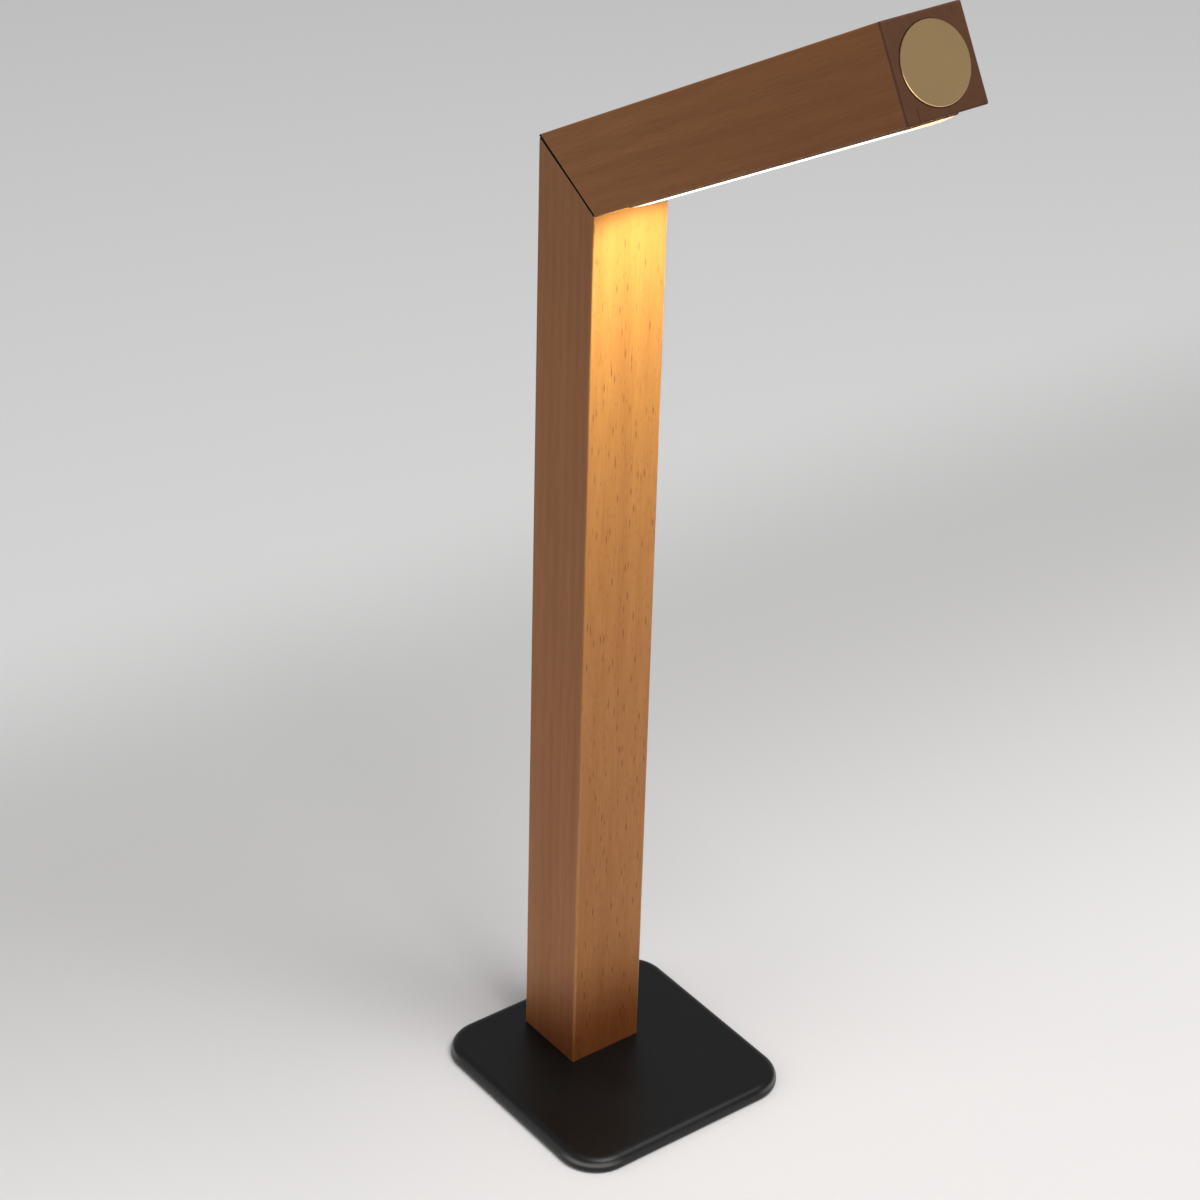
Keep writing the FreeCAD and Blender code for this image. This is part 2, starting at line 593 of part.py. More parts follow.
piece(ring("slip_washer", bolt_room, "stop_circle_radius - stop_pin_radius - seat_gap",
           "-mitre_gap / 2", "mitre_gap / 2 - run_gap", PIVOT))
dish_top = "-plate_depth - friction_washer_thickness"
piece(ring("friction_washer", bolt_room, "washer_radius", dish_top, "-plate_depth", PIVOT))
piece(turned("spring_washer", [
    (bolt_room, f"{dish_top} - spring_washer_height"),
    ("washer_radius", f"{dish_top} - spring_washer_thickness"), ("washer_radius", dish_top),
    (bolt_room, f"{dish_top} - spring_washer_dish"),
], PIVOT))

# Swivel, on the arm's side: plate, stop pin, hollow bolt and its nut
arm_screw_frames = [at(PIVOT, y=f"{side}plate_screw_circle_radius", z="mitre_gap / 2", turn=TURN_OVER)
                    for side in SIDES]
stop_place = at(STOP_ENDS[0], "stop_circle_radius")
arm_plate_blank = drum("arm_plate_blank", "plate_radius", "mitre_gap / 2", "plate_depth", PIVOT)
arm_plate_holes = screw_holes("arm_plate_hole", "plate_screw", arm_screw_frames)
arm_plate_holes += [
    drum("bolt_hole", "bolt_radius + seat_gap", "-overrun", "plate_depth + overrun", PIVOT),
    drum("stop_hole", "stop_pin_radius + run_gap", "-overrun", "plate_depth + overrun", stop_place),
]
piece(cut("arm_pivot_plate", arm_plate_blank, arm_plate_holes))
piece(screws("arm_plate_screws", "plate_screw", arm_screw_frames))
piece(drum("stop_pin", "stop_pin_radius", "-plate_depth", "plate_depth", stop_place))
bolt_foot = "-stack_depth - run_gap - nut_height - bolt_tail"
bolt_blank = joined("bolt_blank", [
    drum("bolt_shank", "bolt_radius", bolt_foot, "plate_depth", PIVOT),
    hexagon("bolt_head", "bolt_head_radius", "bolt_head_height", at(PIVOT, z="plate_depth")),
])
bolt_bore = drum("bolt_bore", "bolt_bore_radius", f"{bolt_foot} - overrun",
                 "plate_depth + bolt_head_height + overrun", PIVOT)
piece(cut("pivot_bolt", bolt_blank, [bolt_bore]))
nut_blank = hexagon("nut_blank", "nut_radius", "nut_height",
                    at(PIVOT, z="-stack_depth - run_gap - nut_height"))
nut_thread = drum("nut_thread", "bolt_radius + run_gap", "-stack_depth - nut_height - overrun",
                  "-stack_depth + overrun", PIVOT)
piece(cut("pivot_nut", nut_blank, [nut_thread]))

# Arm: mitred bar with the swivel's seat, the way of the lead, the strip's groove and the switch's pocket
arm_blank = extruded("arm_blank", [
    ("mitre_trim", "0"), ("arm_length", "0"),
    ("arm_length", "-bar_width"), ("mitre_drop + mitre_trim", "-bar_width"),
], "bar_width", ARM)
rounded(arm_blank, "bar_edge_radius", lambda edge: True)
groove_length = "groove_to - groove_from"
STRIP = at(ARM, "(groove_from + groove_to) / 2", z="-bar_width")
# z of this frame runs along the arm, from the mitre's plane, and its y keeps the arm's
ALONG = at(ARM, z="-arm_way_drop", turn=Rotation(Vector(0, 1, 0), 90))
LED_LEAD = at(ARM, "groove_to - led_lead_inset")
channel_screw_frames = [at(STRIP, f"{side}(({groove_length}) / 2 - channel_screw_inset)",
                           z="channel_height - channel_floor", turn=TURN_OVER) for side in SIDES]
arm_cuts = [
    drum("arm_plate_seat", "plate_radius + seat_gap", "-overrun", "plate_depth", PIVOT),
    drum("head_pocket", "bolt_head_radius + pocket_room", "-overrun", "head_pocket_depth", PIVOT),
    drum("arm_way", "arm_way_radius", "mitre_drop / 2", "switch_floor + overrun", ALONG),
    slab("strip_groove", groove_length, "strip_width + 2 * seat_gap", "channel_height + overrun",
         at(STRIP, z="-overrun")),
    drum("led_lead_hole", "lead_radius + lead_slot_gap", "-bar_width", "-arm_way_drop", LED_LEAD),
    drum("disc_recess", "disc_radius + disc_gap", "-recess_depth", "overrun", SWITCH),
    drum("switch_pocket", "housing_radius + seat_gap", "-switch_depth", "overrun", SWITCH),
]
arm_cuts += screw_holes("arm_pilot", "plate_screw", arm_screw_frames)
arm_cuts += screw_holes("channel_pilot", "channel_screw", channel_screw_frames)
piece(cut("arm_beam", arm_blank, arm_cuts))

# Light strip: channel screwed into the groove, board with its lights, end caps and the milky diffuser
channel_blank = slab("channel_blank", "channel_length", "strip_width", "channel_height", STRIP)
channel_hollow = slab("channel_hollow", "channel_length + 2 * overrun", "channel_inner",
                      "channel_height - channel_floor + overrun", at(STRIP, z="-overrun"))
channel_lead_hole = drum("channel_lead_hole", "lead_radius + lead_slot_gap",
                         "-bar_width", "-arm_way_drop", LED_LEAD)
channel_holes = screw_holes("channel_hole", "channel_screw", channel_screw_frames)
piece(cut("led_channel", channel_blank, [channel_hollow, channel_lead_hole] + channel_holes))
piece(screws("channel_screws", "channel_screw", channel_screw_frames))
cap_places = [at(STRIP, f"{side}({groove_length} - cap_thickness) / 2") for side in SIDES]
piece(group("channel_caps", [
    slab(f"channel_cap_{index}", "cap_thickness", "strip_width", "channel_height", place)
    for index, place in enumerate(cap_places, 1)]))
board_below = "channel_height - channel_floor - strip_board_thickness"
piece(slab("led_board", "channel_length", "strip_board_width", "strip_board_thickness",
           at(STRIP, z=board_below)))
chip_pitch = value("chip_length") * CHIP_PITCH_SHARE
chip_count = int(value("channel_length") / chip_pitch)
chips = []
for index in range(chip_count):
    offset = Placement(Vector((index - (chip_count - 1) / 2) * chip_pitch, 0, 0), Rotation())
    chips.append(slab(f"led_chip_{index + 1}", "chip_length", "chip_width", "chip_height",
                      at(STRIP, z=f"{board_below} - chip_height") * offset))
piece(group("led_chips", chips))
lens = doc.addObject("Part::Common", "diffuser_lens")
lens.Base = slab("lens_blank", groove_length, "strip_width", "diffuser_proud", at(STRIP, z="-diffuser_proud"))
lens.Tool = drum("lens_arch", "diffuser_arch_radius", "groove_from - overrun", "groove_to + overrun",
                 at(ARM, z="diffuser_arch_radius - bar_width - diffuser_proud",
                    turn=Rotation(Vector(0, 1, 0), 90)))
lips = [slab(f"diffuser_lip_{index}", "channel_length", "diffuser_lip_wall", "diffuser_lip_height",
             at(STRIP, y=f"{side}(channel_inner / 2 - seat_gap - diffuser_lip_wall / 2)"))
        for index, side in enumerate(SIDES, 1)]
piece(joined("diffuser", [lens] + lips))

# Switch: housing and sealed push switch in the arm's pocket
skirt = "housing_radius - housing_wall"
guide = "stem_radius + run_gap"
piece(turned("switch_housing", [
    (guide, "-guide_depth"), (skirt, "-guide_depth"), (skirt, "-module_depth"),
    ("housing_radius", "-module_depth"), ("housing_radius", "-recess_depth"), (guide, "-recess_depth"),
], SWITCH))
well = "plunger_radius + run_gap"
well_floor = "-stem_depth - plunger_length - press_travel - press_spare"
piece(turned("switch_module", [
    ("0", "-switch_depth"), ("housing_radius", "-switch_depth"), ("housing_radius", "-module_depth"),
    (well, "-module_depth"), (well, well_floor), ("0", well_floor),
], SWITCH))

# Button: the brass disc, its stem with a clip, and the plunger that it pushes
disc = drum("switch_disc", "disc_radius", "-disc_sunk", "disc_proud", SWITCH)
piece(rounded(disc, "disc_edge_radius", level_at("disc_proud")))
clip_top = "guide_depth + run_gap"
clip_foot = f"{clip_top} + clip_thickness"
neck = "stem_radius - clip_groove_depth"
piece(turned("switch_stem", [
    ("0", "-stem_depth"), ("stem_radius", "-stem_depth"),
    ("stem_radius", f"-({clip_foot})"), (neck, f"-({clip_foot})"),
    (neck, f"-({clip_top})"), ("stem_radius", f"-({clip_top})"),
    ("stem_radius", "-disc_sunk"), ("0", "-disc_sunk"),
], SWITCH))
piece(ring("stem_clip", f"{neck} + run_gap", "clip_radius", f"-({clip_foot})", f"-({clip_top})", SWITCH))
piece(drum("switch_plunger", "plunger_radius", "-stem_depth - plunger_length", "-stem_depth", SWITCH))

# Leads: from the charging board up the post's slot to the swivel's axis, along the arm, and to the lights
post_lead_points = [at(POST, x, z=z).Base for x, z in (
    ("-lead_start_setback", "lead_foot_height"),
    ("-lead_start_setback", "lead_foot_height + lead_step_height"),
    ("-lead_groove_setback", "lead_foot_height + lead_step_height + lead_step_length"),
)]
axis_foot = at(PIVOT, z="-lead_groove_setback / sin(mitre_tilt)").Base
piece(lead("post_lead", post_lead_points + [axis_foot, PIVOT.Base]))
way_turn = at(PIVOT, z="head_pocket_depth").Base
lead_end = at(ARM, "switch_floor", z="-arm_lead_drop").Base
piece(lead("arm_lead", [PIVOT.Base, way_turn, lead_end]))
piece(drum("led_lead", "lead_radius", "-strip_board_top", "-arm_lead_drop - lead_radius", LED_LEAD))

doc.recompute()
broken = [thing.Name for thing in doc.Objects if {"Invalid", "Error"} & set(thing.State)]
broken += [thing.Label for thing in pieces if thing.Shape.isNull() or not thing.Shape.isValid()]
if broken:
    raise RuntimeError("these objects failed: " + ", ".join(broken))
os.makedirs("parts", exist_ok=True)
for thing in pieces:
    thing.Shape.exportStep(f"parts/{thing.Label}.step")
print(len(pieces), "sub-parts written")
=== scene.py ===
import json
import math

import bmesh
import bpy
from mathutils import Matrix, Vector


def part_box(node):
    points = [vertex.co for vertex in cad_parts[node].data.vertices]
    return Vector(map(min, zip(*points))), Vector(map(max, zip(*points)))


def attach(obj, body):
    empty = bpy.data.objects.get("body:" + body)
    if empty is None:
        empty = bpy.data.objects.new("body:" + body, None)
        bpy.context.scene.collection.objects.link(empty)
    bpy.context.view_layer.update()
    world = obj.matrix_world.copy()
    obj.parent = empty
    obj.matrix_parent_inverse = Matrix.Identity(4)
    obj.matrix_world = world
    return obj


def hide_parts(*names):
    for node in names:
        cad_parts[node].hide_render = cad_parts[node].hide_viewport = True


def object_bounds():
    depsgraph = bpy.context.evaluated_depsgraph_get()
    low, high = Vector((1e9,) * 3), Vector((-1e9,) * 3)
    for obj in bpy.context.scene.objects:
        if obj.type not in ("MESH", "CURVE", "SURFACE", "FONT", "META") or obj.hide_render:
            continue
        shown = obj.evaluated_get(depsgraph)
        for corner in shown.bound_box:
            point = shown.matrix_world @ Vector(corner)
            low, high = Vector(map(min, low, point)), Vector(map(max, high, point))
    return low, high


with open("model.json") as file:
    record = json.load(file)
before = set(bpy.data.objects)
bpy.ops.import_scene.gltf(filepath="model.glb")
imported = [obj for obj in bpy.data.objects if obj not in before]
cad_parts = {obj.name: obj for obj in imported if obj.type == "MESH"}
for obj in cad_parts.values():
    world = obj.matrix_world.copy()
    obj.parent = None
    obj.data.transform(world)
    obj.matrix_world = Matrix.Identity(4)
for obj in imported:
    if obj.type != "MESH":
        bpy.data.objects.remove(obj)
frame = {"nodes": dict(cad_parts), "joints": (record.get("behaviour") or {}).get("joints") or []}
cad_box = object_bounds()
nodes = frame["nodes"]

# Foot pad: a thin sheet of closed-cell foam rubber, die cut to the plate's outline.
# It is glued under the plate, hides the screws and keeps the lamp from sliding.
foam_cell_size = 0.0007
foam_black = (0.010, 0.010, 0.011, 1)
foam_grey = (0.030, 0.030, 0.031, 1)
foam_cell_depth = 0.00012
mottles_per_pebble = 0.3


def put(tree, kind, sockets=None, **settings):
    """Adds a node to a tree, with its settings, and with a value or a link on each named socket."""
    node = tree.nodes.new(kind)
    for name, value in settings.items():
        setattr(node, name, value)
    for name, value in (sockets or {}).items():
        if isinstance(value, bpy.types.NodeSocket):
            tree.links.new(value, node.inputs[name])
        else:
            node.inputs[name].default_value = value
    return node


def math_of(tree, operation, *values):
    """One step of arithmetic."""
    return put(tree, "ShaderNodeMath", dict(enumerate(values)), operation=operation).outputs[0]


def spread(tree, value, low, high, to_low=0.0, to_high=1.0):
    """A value eased from one range to another, and held at its ends."""
    sockets = {"Value": value, "From Min": low, "From Max": high, "To Min": to_low, "To Max": to_high}
    return put(tree, "ShaderNodeMapRange", sockets, interpolation_type="SMOOTHSTEP").outputs["Result"]


def blended(tree, share, first, second, blend_type="MIX"):
    """Two colours mixed by a share."""
    mix = put(tree, "ShaderNodeMix", {0: share, 6: first, 7: second}, data_type="RGBA", blend_type=blend_type)
    return mix.outputs[2]


def shader_group(name, inputs, outputs):
    """An empty group for an effect that several finishes share, with its input and output sockets."""
    group = bpy.data.node_groups.new(name, "ShaderNodeTree")
    for title, kind in inputs:
        group.interface.new_socket(title, in_out="INPUT", socket_type="NodeSocket" + kind)
    for title, kind in outputs:
        group.interface.new_socket(title, in_out="OUTPUT", socket_type="NodeSocket" + kind)
    return group, group.nodes.new("NodeGroupInput").outputs, group.nodes.new("NodeGroupOutput").inputs


def finish_named(name):
    """A new finish: its tree, its Principled shader, and the coordinates of the piece that wears it."""
    material = bpy.data.materials.new(name)
    material.use_nodes = True
    tree = material.node_tree
    place = put(tree, "ShaderNodeTexCoord").outputs["Object"]
    return material, tree, tree.nodes["Principled BSDF"], place


def feed(tree, shader, **sources):
    """Links what changes over the surface to the shader; a socket's name has its spaces as underscores."""
    for name, source in sources.items():
        tree.links.new(source, shader.inputs[name.replace("_", " ")])


def relief(tree, shader, height, depth, strength=1.0):
    """Fine relief, as deep as given, on the shader's normal."""
    bump = put(tree, "ShaderNodeBump", {"Height": height, "Distance": depth, "Strength": strength})
    feed(tree, shader, Normal=bump.outputs["Normal"])


def wear(material, *names):
    """Gives a finish to solids of the frame."""
    for name in names:
        nodes[name].data.materials.clear()
        nodes[name].data.materials.append(material)


# pebbled skin: what foam, powder coat and moulded plastic have in common, at their own sizes
pebbled_skin, entry, exits = shader_group(
    "pebbled_skin", [("Vector", "Vector"), ("Pebble Size", "Float")],
    [("Shade", "Float"), ("Height", "Float")])
pebbles_per_metre = math_of(pebbled_skin, "DIVIDE", 1.0, entry["Pebble Size"])
pebbles = put(pebbled_skin, "ShaderNodeTexVoronoi", {"Vector": entry["Vector"], "Scale": pebbles_per_metre},
              feature="SMOOTH_F1")
mottles_per_metre = math_of(pebbled_skin, "MULTIPLY", pebbles_per_metre, mottles_per_pebble)
mottle = put(pebbled_skin, "ShaderNodeTexNoise", {
    "Vector": entry["Vector"], "Scale": mottles_per_metre, "Detail": 4.0})
pebbled_skin.links.new(mottle.outputs[0], exits["Shade"])
rounded_pebbles = math_of(pebbled_skin, "SUBTRACT", 1.0, pebbles.outputs["Distance"])
pebbled_skin.links.new(math_of(pebbled_skin, "ADD", rounded_pebbles, mottle.outputs[0]), exits["Height"])

foam_rubber, tree, shader, place = finish_named("foam_rubber")
skin = put(tree, "ShaderNodeGroup", {"Vector": place, "Pebble Size": foam_cell_size}, node_tree=pebbled_skin)
feed(tree, shader, Base_Color=blended(tree, skin.outputs["Shade"], foam_black, foam_grey),
     Roughness=spread(tree, skin.outputs["Shade"], 0.3, 0.7, 0.82, 0.96))
relief(tree, shader, skin.outputs["Height"], foam_cell_depth)
wear(foam_rubber, "base_pad")

# Base plate: heavy steel plate with rounded corners and a rounded upper edge, which keeps the lamp upright.
# It is laser cut, milled along the edge and powder coated in satin black.
# A pale grey painted highlight lies on the crest of the rounded edge, most at the corners.
coat_grain_size = 0.0005
coat_grain_depth = 0.000025
coat_patch_size = 0.03
coat_black = (0.0014, 0.0016, 0.0016, 1)
coat_grey = (0.0026, 0.0028, 0.0028, 1)
crest_highlight_grey = (0.12, 0.118, 0.112, 1)
crest_highlight_height = 0.0034
crest_highlight_spread = (0.0010, 0.0002)
crest_highlight_edge_share = 0.08
corner_range = (1.62, 1.80)
plate_low, plate_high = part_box("base_plate")
plate_half = (plate_high.x - plate_low.x) / 2

# handling: the soft patches that hands and cloths leave on any satin surface
handling, entry, exits = shader_group(
    "handling", [("Vector", "Vector"), ("Patch Size", "Float")], [("Patches", "Float")])
patches_per_metre = math_of(handling, "DIVIDE", 1.0, entry["Patch Size"])
patches = put(handling, "ShaderNodeTexNoise", {
    "Vector": entry["Vector"], "Scale": patches_per_metre,
    "Detail": 5.0, "Roughness": 0.55, "Distortion": 0.6})
handling.links.new(spread(handling, patches.outputs[0], 0.32, 0.68), exits["Patches"])

powder_coat, tree, shader, place = finish_named("powder_coat")
skin = put(tree, "ShaderNodeGroup", {"Vector": place, "Pebble Size": coat_grain_size}, node_tree=pebbled_skin)
touched = put(tree, "ShaderNodeGroup", {"Vector": place, "Patch Size": coat_patch_size}, node_tree=handling)
spot = put(tree, "ShaderNodeSeparateXYZ", {0: place})
from_crest = math_of(tree, "ABSOLUTE", math_of(tree, "SUBTRACT", spot.outputs["Z"], crest_highlight_height))
corner_reach = math_of(tree, "ADD", math_of(tree, "ABSOLUTE", spot.outputs["X"]),
                       math_of(tree, "ABSOLUTE", spot.outputs["Y"]))
near_corner = spread(tree, corner_reach, plate_half * corner_range[0], plate_half * corner_range[1],
                     crest_highlight_edge_share, 1.0)
on_crest = spread(tree, from_crest, crest_highlight_spread[0], crest_highlight_spread[1])
# painted highlight: pale grey along the crest of the rounded edge, strongest at the corners
is_crest_highlight = math_of(tree, "MULTIPLY", near_corner, on_crest)
patchy = spread(tree, touched.outputs["Patches"], 0.0, 1.0, 0.7, 1.0)
uneven_crest_highlight = math_of(tree, "MULTIPLY", is_crest_highlight, patchy)
coat = blended(tree, skin.outputs["Shade"], coat_black, coat_grey)
feed(tree, shader, Base_Color=blended(tree, uneven_crest_highlight, coat, crest_highlight_grey),
     Roughness=spread(tree, touched.outputs["Patches"], 0.0, 1.0, 0.33, 0.40))
shader.inputs["Specular IOR Level"].default_value = 0.40
relief(tree, shader, skin.outputs["Height"], coat_grain_depth)
wear(powder_coat, "base_plate")

# Base screws and foot plug: two zinc-plated countersunk socket screws come up through the plate
# and pull a turned aluminium plug, glued into the foot of the post's bore, down on it.
steel_light = (0.56, 0.57, 0.58, 1)
steel_dark = (0.40, 0.41, 0.42, 1)
aluminium_light = (0.80, 0.80, 0.81, 1)
aluminium_dark = (0.66, 0.66, 0.68, 1)
tool_mark_depth = 0.00001
metal_patch_size = 0.006
post_low, post_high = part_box("post")
post_axis = (post_low + post_high) / 2
post_foot = Vector((post_axis.x, post_axis.y, post_low.z))

# tool marks: fine lines that run along z of the coordinates they are given
tool_marks, entry, exits = shader_group(
    "tool_marks", [("Vector", "Vector"), ("Line Width", "Float")], [("Lines", "Float")])
across_lines = math_of(tool_marks, "DIVIDE", 1.0, entry["Line Width"])
along_lines = math_of(tool_marks, "MULTIPLY", across_lines, 0.02)
stretch = put(tool_marks, "ShaderNodeCombineXYZ", {"X": across_lines, "Y": across_lines, "Z": along_lines})
stretched = put(tool_marks, "ShaderNodeVectorMath", {0: entry["Vector"], 1: stretch.outputs[0]},
                operation="MULTIPLY")
lines = put(tool_marks, "ShaderNodeTexNoise", {
    "Vector": stretched.outputs[0], "Scale": 1.0, "Detail": 3.0, "Roughness": 0.6})
tool_marks.links.new(lines.outputs[0], exits["Lines"])


def bare_metal(name, light, dark, line_width, smooth, rough, turn=(0, 0, 0), centre=(0, 0, 0)):
    """Bare metal with fine tool marks along one direction and a slightly uneven sheen."""
    material, tree, shader, place = finish_named(name)
    turned = put(tree, "ShaderNodeMapping", {"Vector": place, "Location": centre, "Rotation": turn},
                 vector_type="TEXTURE")
    marks = put(tree, "ShaderNodeGroup", {"Vector": turned.outputs[0], "Line Width": line_width},
                node_tree=tool_marks)
    touched = put(tree, "ShaderNodeGroup", {"Vector": place, "Patch Size": metal_patch_size},
                  node_tree=handling)
    feed(tree, shader, Base_Color=blended(tree, marks.outputs["Lines"], dark, light),
         Roughness=spread(tree, touched.outputs["Patches"], 0.0, 1.0, smooth, rough))
    shader.inputs["Metallic"].default_value = 1.0
    relief(tree, shader, marks.outputs["Lines"], tool_mark_depth)
    return material


plated_steel = bare_metal("plated_steel", steel_light, steel_dark, 0.00018, 0.24, 0.40)
turned_aluminium = bare_metal("turned_aluminium", aluminium_light, aluminium_dark, 0.00025, 0.28, 0.42,
                              turn=(0, math.pi / 2, 0))
wear(plated_steel, "base_screws")
wear(turned_aluminium, "post_foot_plug")

# Carriers, tube and clamp: moulded nylon pieces in the post's bore, pushed in from the foot.
# They hold the charging board upright, sleeve the two cells and press them down on their spring.
nylon_grain_size = 0.0006
nylon_dark = (0.030, 0.030, 0.032, 1)
nylon_light = (0.055, 0.055, 0.058, 1)
moulded_skin_depth = 0.00003


def moulded(name, dark, light, grain_size, smooth, rough):
    """Moulded plastic with a spark-eroded skin."""
    material, tree, shader, place = finish_named(name)
    skin = put(tree, "ShaderNodeGroup", {"Vector": place, "Pebble Size": grain_size}, node_tree=pebbled_skin)
    feed(tree, shader, Base_Color=blended(tree, skin.outputs["Shade"], dark, light),
         Roughness=spread(tree, skin.outputs["Shade"], 0.3, 0.7, smooth, rough))
    relief(tree, shader, skin.outputs["Height"], moulded_skin_depth)
    return material


grey_nylon = moulded("grey_nylon", nylon_dark, nylon_light, nylon_grain_size, 0.5, 0.66)
wear(grey_nylon, "board_carrier", "contact_carrier", "battery_tube", "cell_clamp")

# Charging board: green solder mask on glass fibre, with thin tracks and gold pads.
# It slides into the slots of its two carriers; chip, coil and capacitors are soldered to its front.
mask_green = (0.006, 0.060, 0.022, 1)
track_green = (0.012, 0.110, 0.040, 1)
pad_gold = (0.75, 0.52, 0.16, 1)
track_pitch = 0.0016
pad_pitch = 0.0032
track_depth = 0.00003
part_black = (0.010, 0.010, 0.011, 1)
part_grey = (0.024, 0.024, 0.026, 1)

solder_mask, tree, shader, place = finish_named("solder_mask")
flat_board = put(tree, "ShaderNodeMapping", {"Vector": place, "Rotation": (0, math.pi / 2, 0)})
tracks = put(tree, "ShaderNodeTexBrick", {
    "Vector": flat_board.outputs[0], "Scale": 1 / track_pitch, "Mortar Size": 0.06, "Mortar Smooth": 0.3,
    "Color1": mask_green, "Color2": mask_green, "Mortar": track_green})
pads = put(tree, "ShaderNodeTexVoronoi", {"Vector": place, "Scale": 1 / pad_pitch, "Randomness": 0.7})
is_pad = spread(tree, pads.outputs["Distance"], 0.22, 0.17)
feed(tree, shader, Base_Color=blended(tree, is_pad, tracks.outputs["Color"], pad_gold), Metallic=is_pad,
     Roughness=spread(tree, is_pad, 0.0, 1.0, 0.38, 0.28))
relief(tree, shader, tracks.outputs["Fac"], track_depth)
chip_resin = moulded("chip_resin", part_black, part_grey, 0.0003, 0.45, 0.6)
wear(solder_mask, "charge_board")
wear(chip_resin, "board_components")

# Charging inlet: a drawn steel shell with a black contact tongue, soldered to the board's back.
# A moulded bezel, flush with the wood, frames its mouth on the back of the post.
inlet_low, inlet_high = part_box("charge_socket")
inlet_middle = (inlet_low + inlet_high) / 2
tongue_thickness = 0.0007
tongue_width = 0.0066
contact_count = 12
contact_width = 0.00025
contact_pitch = 0.0005
contact_length = 0.0038
contact_thickness = 0.00006
contact_setback = 0.0006
gold_light = (0.85, 0.62, 0.24, 1)
gold_dark = (0.70, 0.48, 0.16, 1)

inlet_shell, tree, shader, place = finish_named("inlet_shell")
centred = put(tree, "ShaderNodeMapping", {"Vector": place, "Location": inlet_middle}, vector_type="TEXTURE")
parts = put(tree, "ShaderNodeSeparateXYZ", {0: centred.outputs[0]})
near_middle = spread(tree, math_of(tree, "ABSOLUTE", parts.outputs["Z"]),
                     tongue_thickness * 0.62, tongue_thickness * 0.56)
within_tongue = spread(tree, math_of(tree, "ABSOLUTE", parts.outputs["Y"]),
                       tongue_width * 0.52, tongue_width * 0.51)
is_tongue = math_of(tree, "MULTIPLY", near_middle, within_tongue)
marks = put(tree, "ShaderNodeGroup", {"Vector": place, "Line Width": 0.00015}, node_tree=tool_marks)
drawn_steel = blended(tree, marks.outputs["Lines"], steel_dark, steel_light)
feed(tree, shader, Base_Color=blended(tree, is_tongue, drawn_steel, part_black),
     Metallic=math_of(tree, "SUBTRACT", 1.0, is_tongue),
     Roughness=spread(tree, is_tongue, 0.0, 1.0, 0.28, 0.55))
wear(inlet_shell, "charge_socket")
black_plastic = moulded("black_plastic", part_black, part_grey, 0.00045, 0.46, 0.62)
wear(black_plastic, "charge_bezel")
contact_gold = bare_metal("contact_gold", gold_light, gold_dark, 0.0001, 0.2, 0.32)


def geometry_tree(name, inputs):
    """An empty Geometry Nodes tree with named inputs, and its input and output sockets."""
    grown = bpy.data.node_groups.new(name, "GeometryNodeTree")
    for title, kind in inputs:
        grown.interface.new_socket(title, in_out="INPUT", socket_type="NodeSocket" + kind)
    grown.interface.new_socket("Geometry", in_out="OUTPUT", socket_type="NodeSocketGeometry")
    return grown, grown.nodes.new("NodeGroupInput").outputs, grown.nodes.new("NodeGroupOutput").inputs


def grow(name, grown, sizes):
    """The plain mesh that a Geometry Nodes tree makes with these sizes, as a new piece."""
    piece = bpy.data.objects.new(name, bpy.data.meshes.new(name))
    bpy.context.scene.collection.objects.link(piece)
    modifier = piece.modifiers.new("grow", "NODES")
    modifier.node_group = grown
    for socket in grown.interface.items_tree:
        if socket.name in sizes:
            modifier[socket.identifier] = sizes[socket.name]
    evaluated = piece.evaluated_get(bpy.context.evaluated_depsgraph_get())
    mesh = bpy.data.meshes.new_from_object(evaluated)
    piece.modifiers.remove(modifier)
    piece.data = mesh
    return piece


contact_row, entry, exits = geometry_tree("contact_row", [
    ("Count", "Int"), ("Pitch", "Float"), ("Size", "Vector"), ("Face Gap", "Float"), ("Metal", "Material")])
half_run = math_of(contact_row, "MULTIPLY", math_of(contact_row, "SUBTRACT", entry["Count"], 1), -0.5)
first_place = math_of(contact_row, "MULTIPLY", half_run, entry["Pitch"])
row_start = put(contact_row, "ShaderNodeCombineXYZ", {"Y": first_place})
row_step = put(contact_row, "ShaderNodeCombineXYZ", {"Y": entry["Pitch"]})
row = put(contact_row, "GeometryNodeMeshLine", {
    "Count": entry["Count"], "Start Location": row_start.outputs[0], "Offset": row_step.outputs[0]})
blade = put(contact_row, "GeometryNodeMeshCube", {"Size": entry["Size"]})
blades = put(contact_row, "GeometryNodeInstanceOnPoints", {
    "Points": row.outputs["Mesh"], "Instance": blade.outputs["Mesh"]})
both_faces = put(contact_row, "GeometryNodeJoinGeometry")
for side in (-0.5, 0.5):
    half_gap = math_of(contact_row, "MULTIPLY", entry["Face Gap"], side)
    lift = put(contact_row, "ShaderNodeCombineXYZ", {"Z": half_gap})
    face = put(contact_row, "GeometryNodeTransform", {
        "Geometry": blades.outputs["Instances"], "Translation": lift.outputs[0]})
    contact_row.links.new(face.outputs["Geometry"], both_faces.inputs["Geometry"])
real = put(contact_row, "GeometryNodeRealizeInstances", {"Geometry": both_faces.outputs["Geometry"]})
gilded = put(contact_row, "GeometryNodeSetMaterial", {
    "Geometry": real.outputs["Geometry"], "Material": entry["Metal"]})
contact_row.links.new(gilded.outputs["Geometry"], exits["Geometry"])
inlet_contacts = grow("inlet_contacts", contact_row, {
    "Count": contact_count, "Pitch": contact_pitch,
    "Size": (contact_length, contact_width, contact_thickness),
    "Face Gap": tongue_thickness + contact_thickness, "Metal": contact_gold})
inlet_contacts.data.transform(Matrix.Translation(
    (inlet_low.x + contact_setback + contact_length / 2, inlet_middle.y, inlet_middle.z)))
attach(inlet_contacts, "stand")

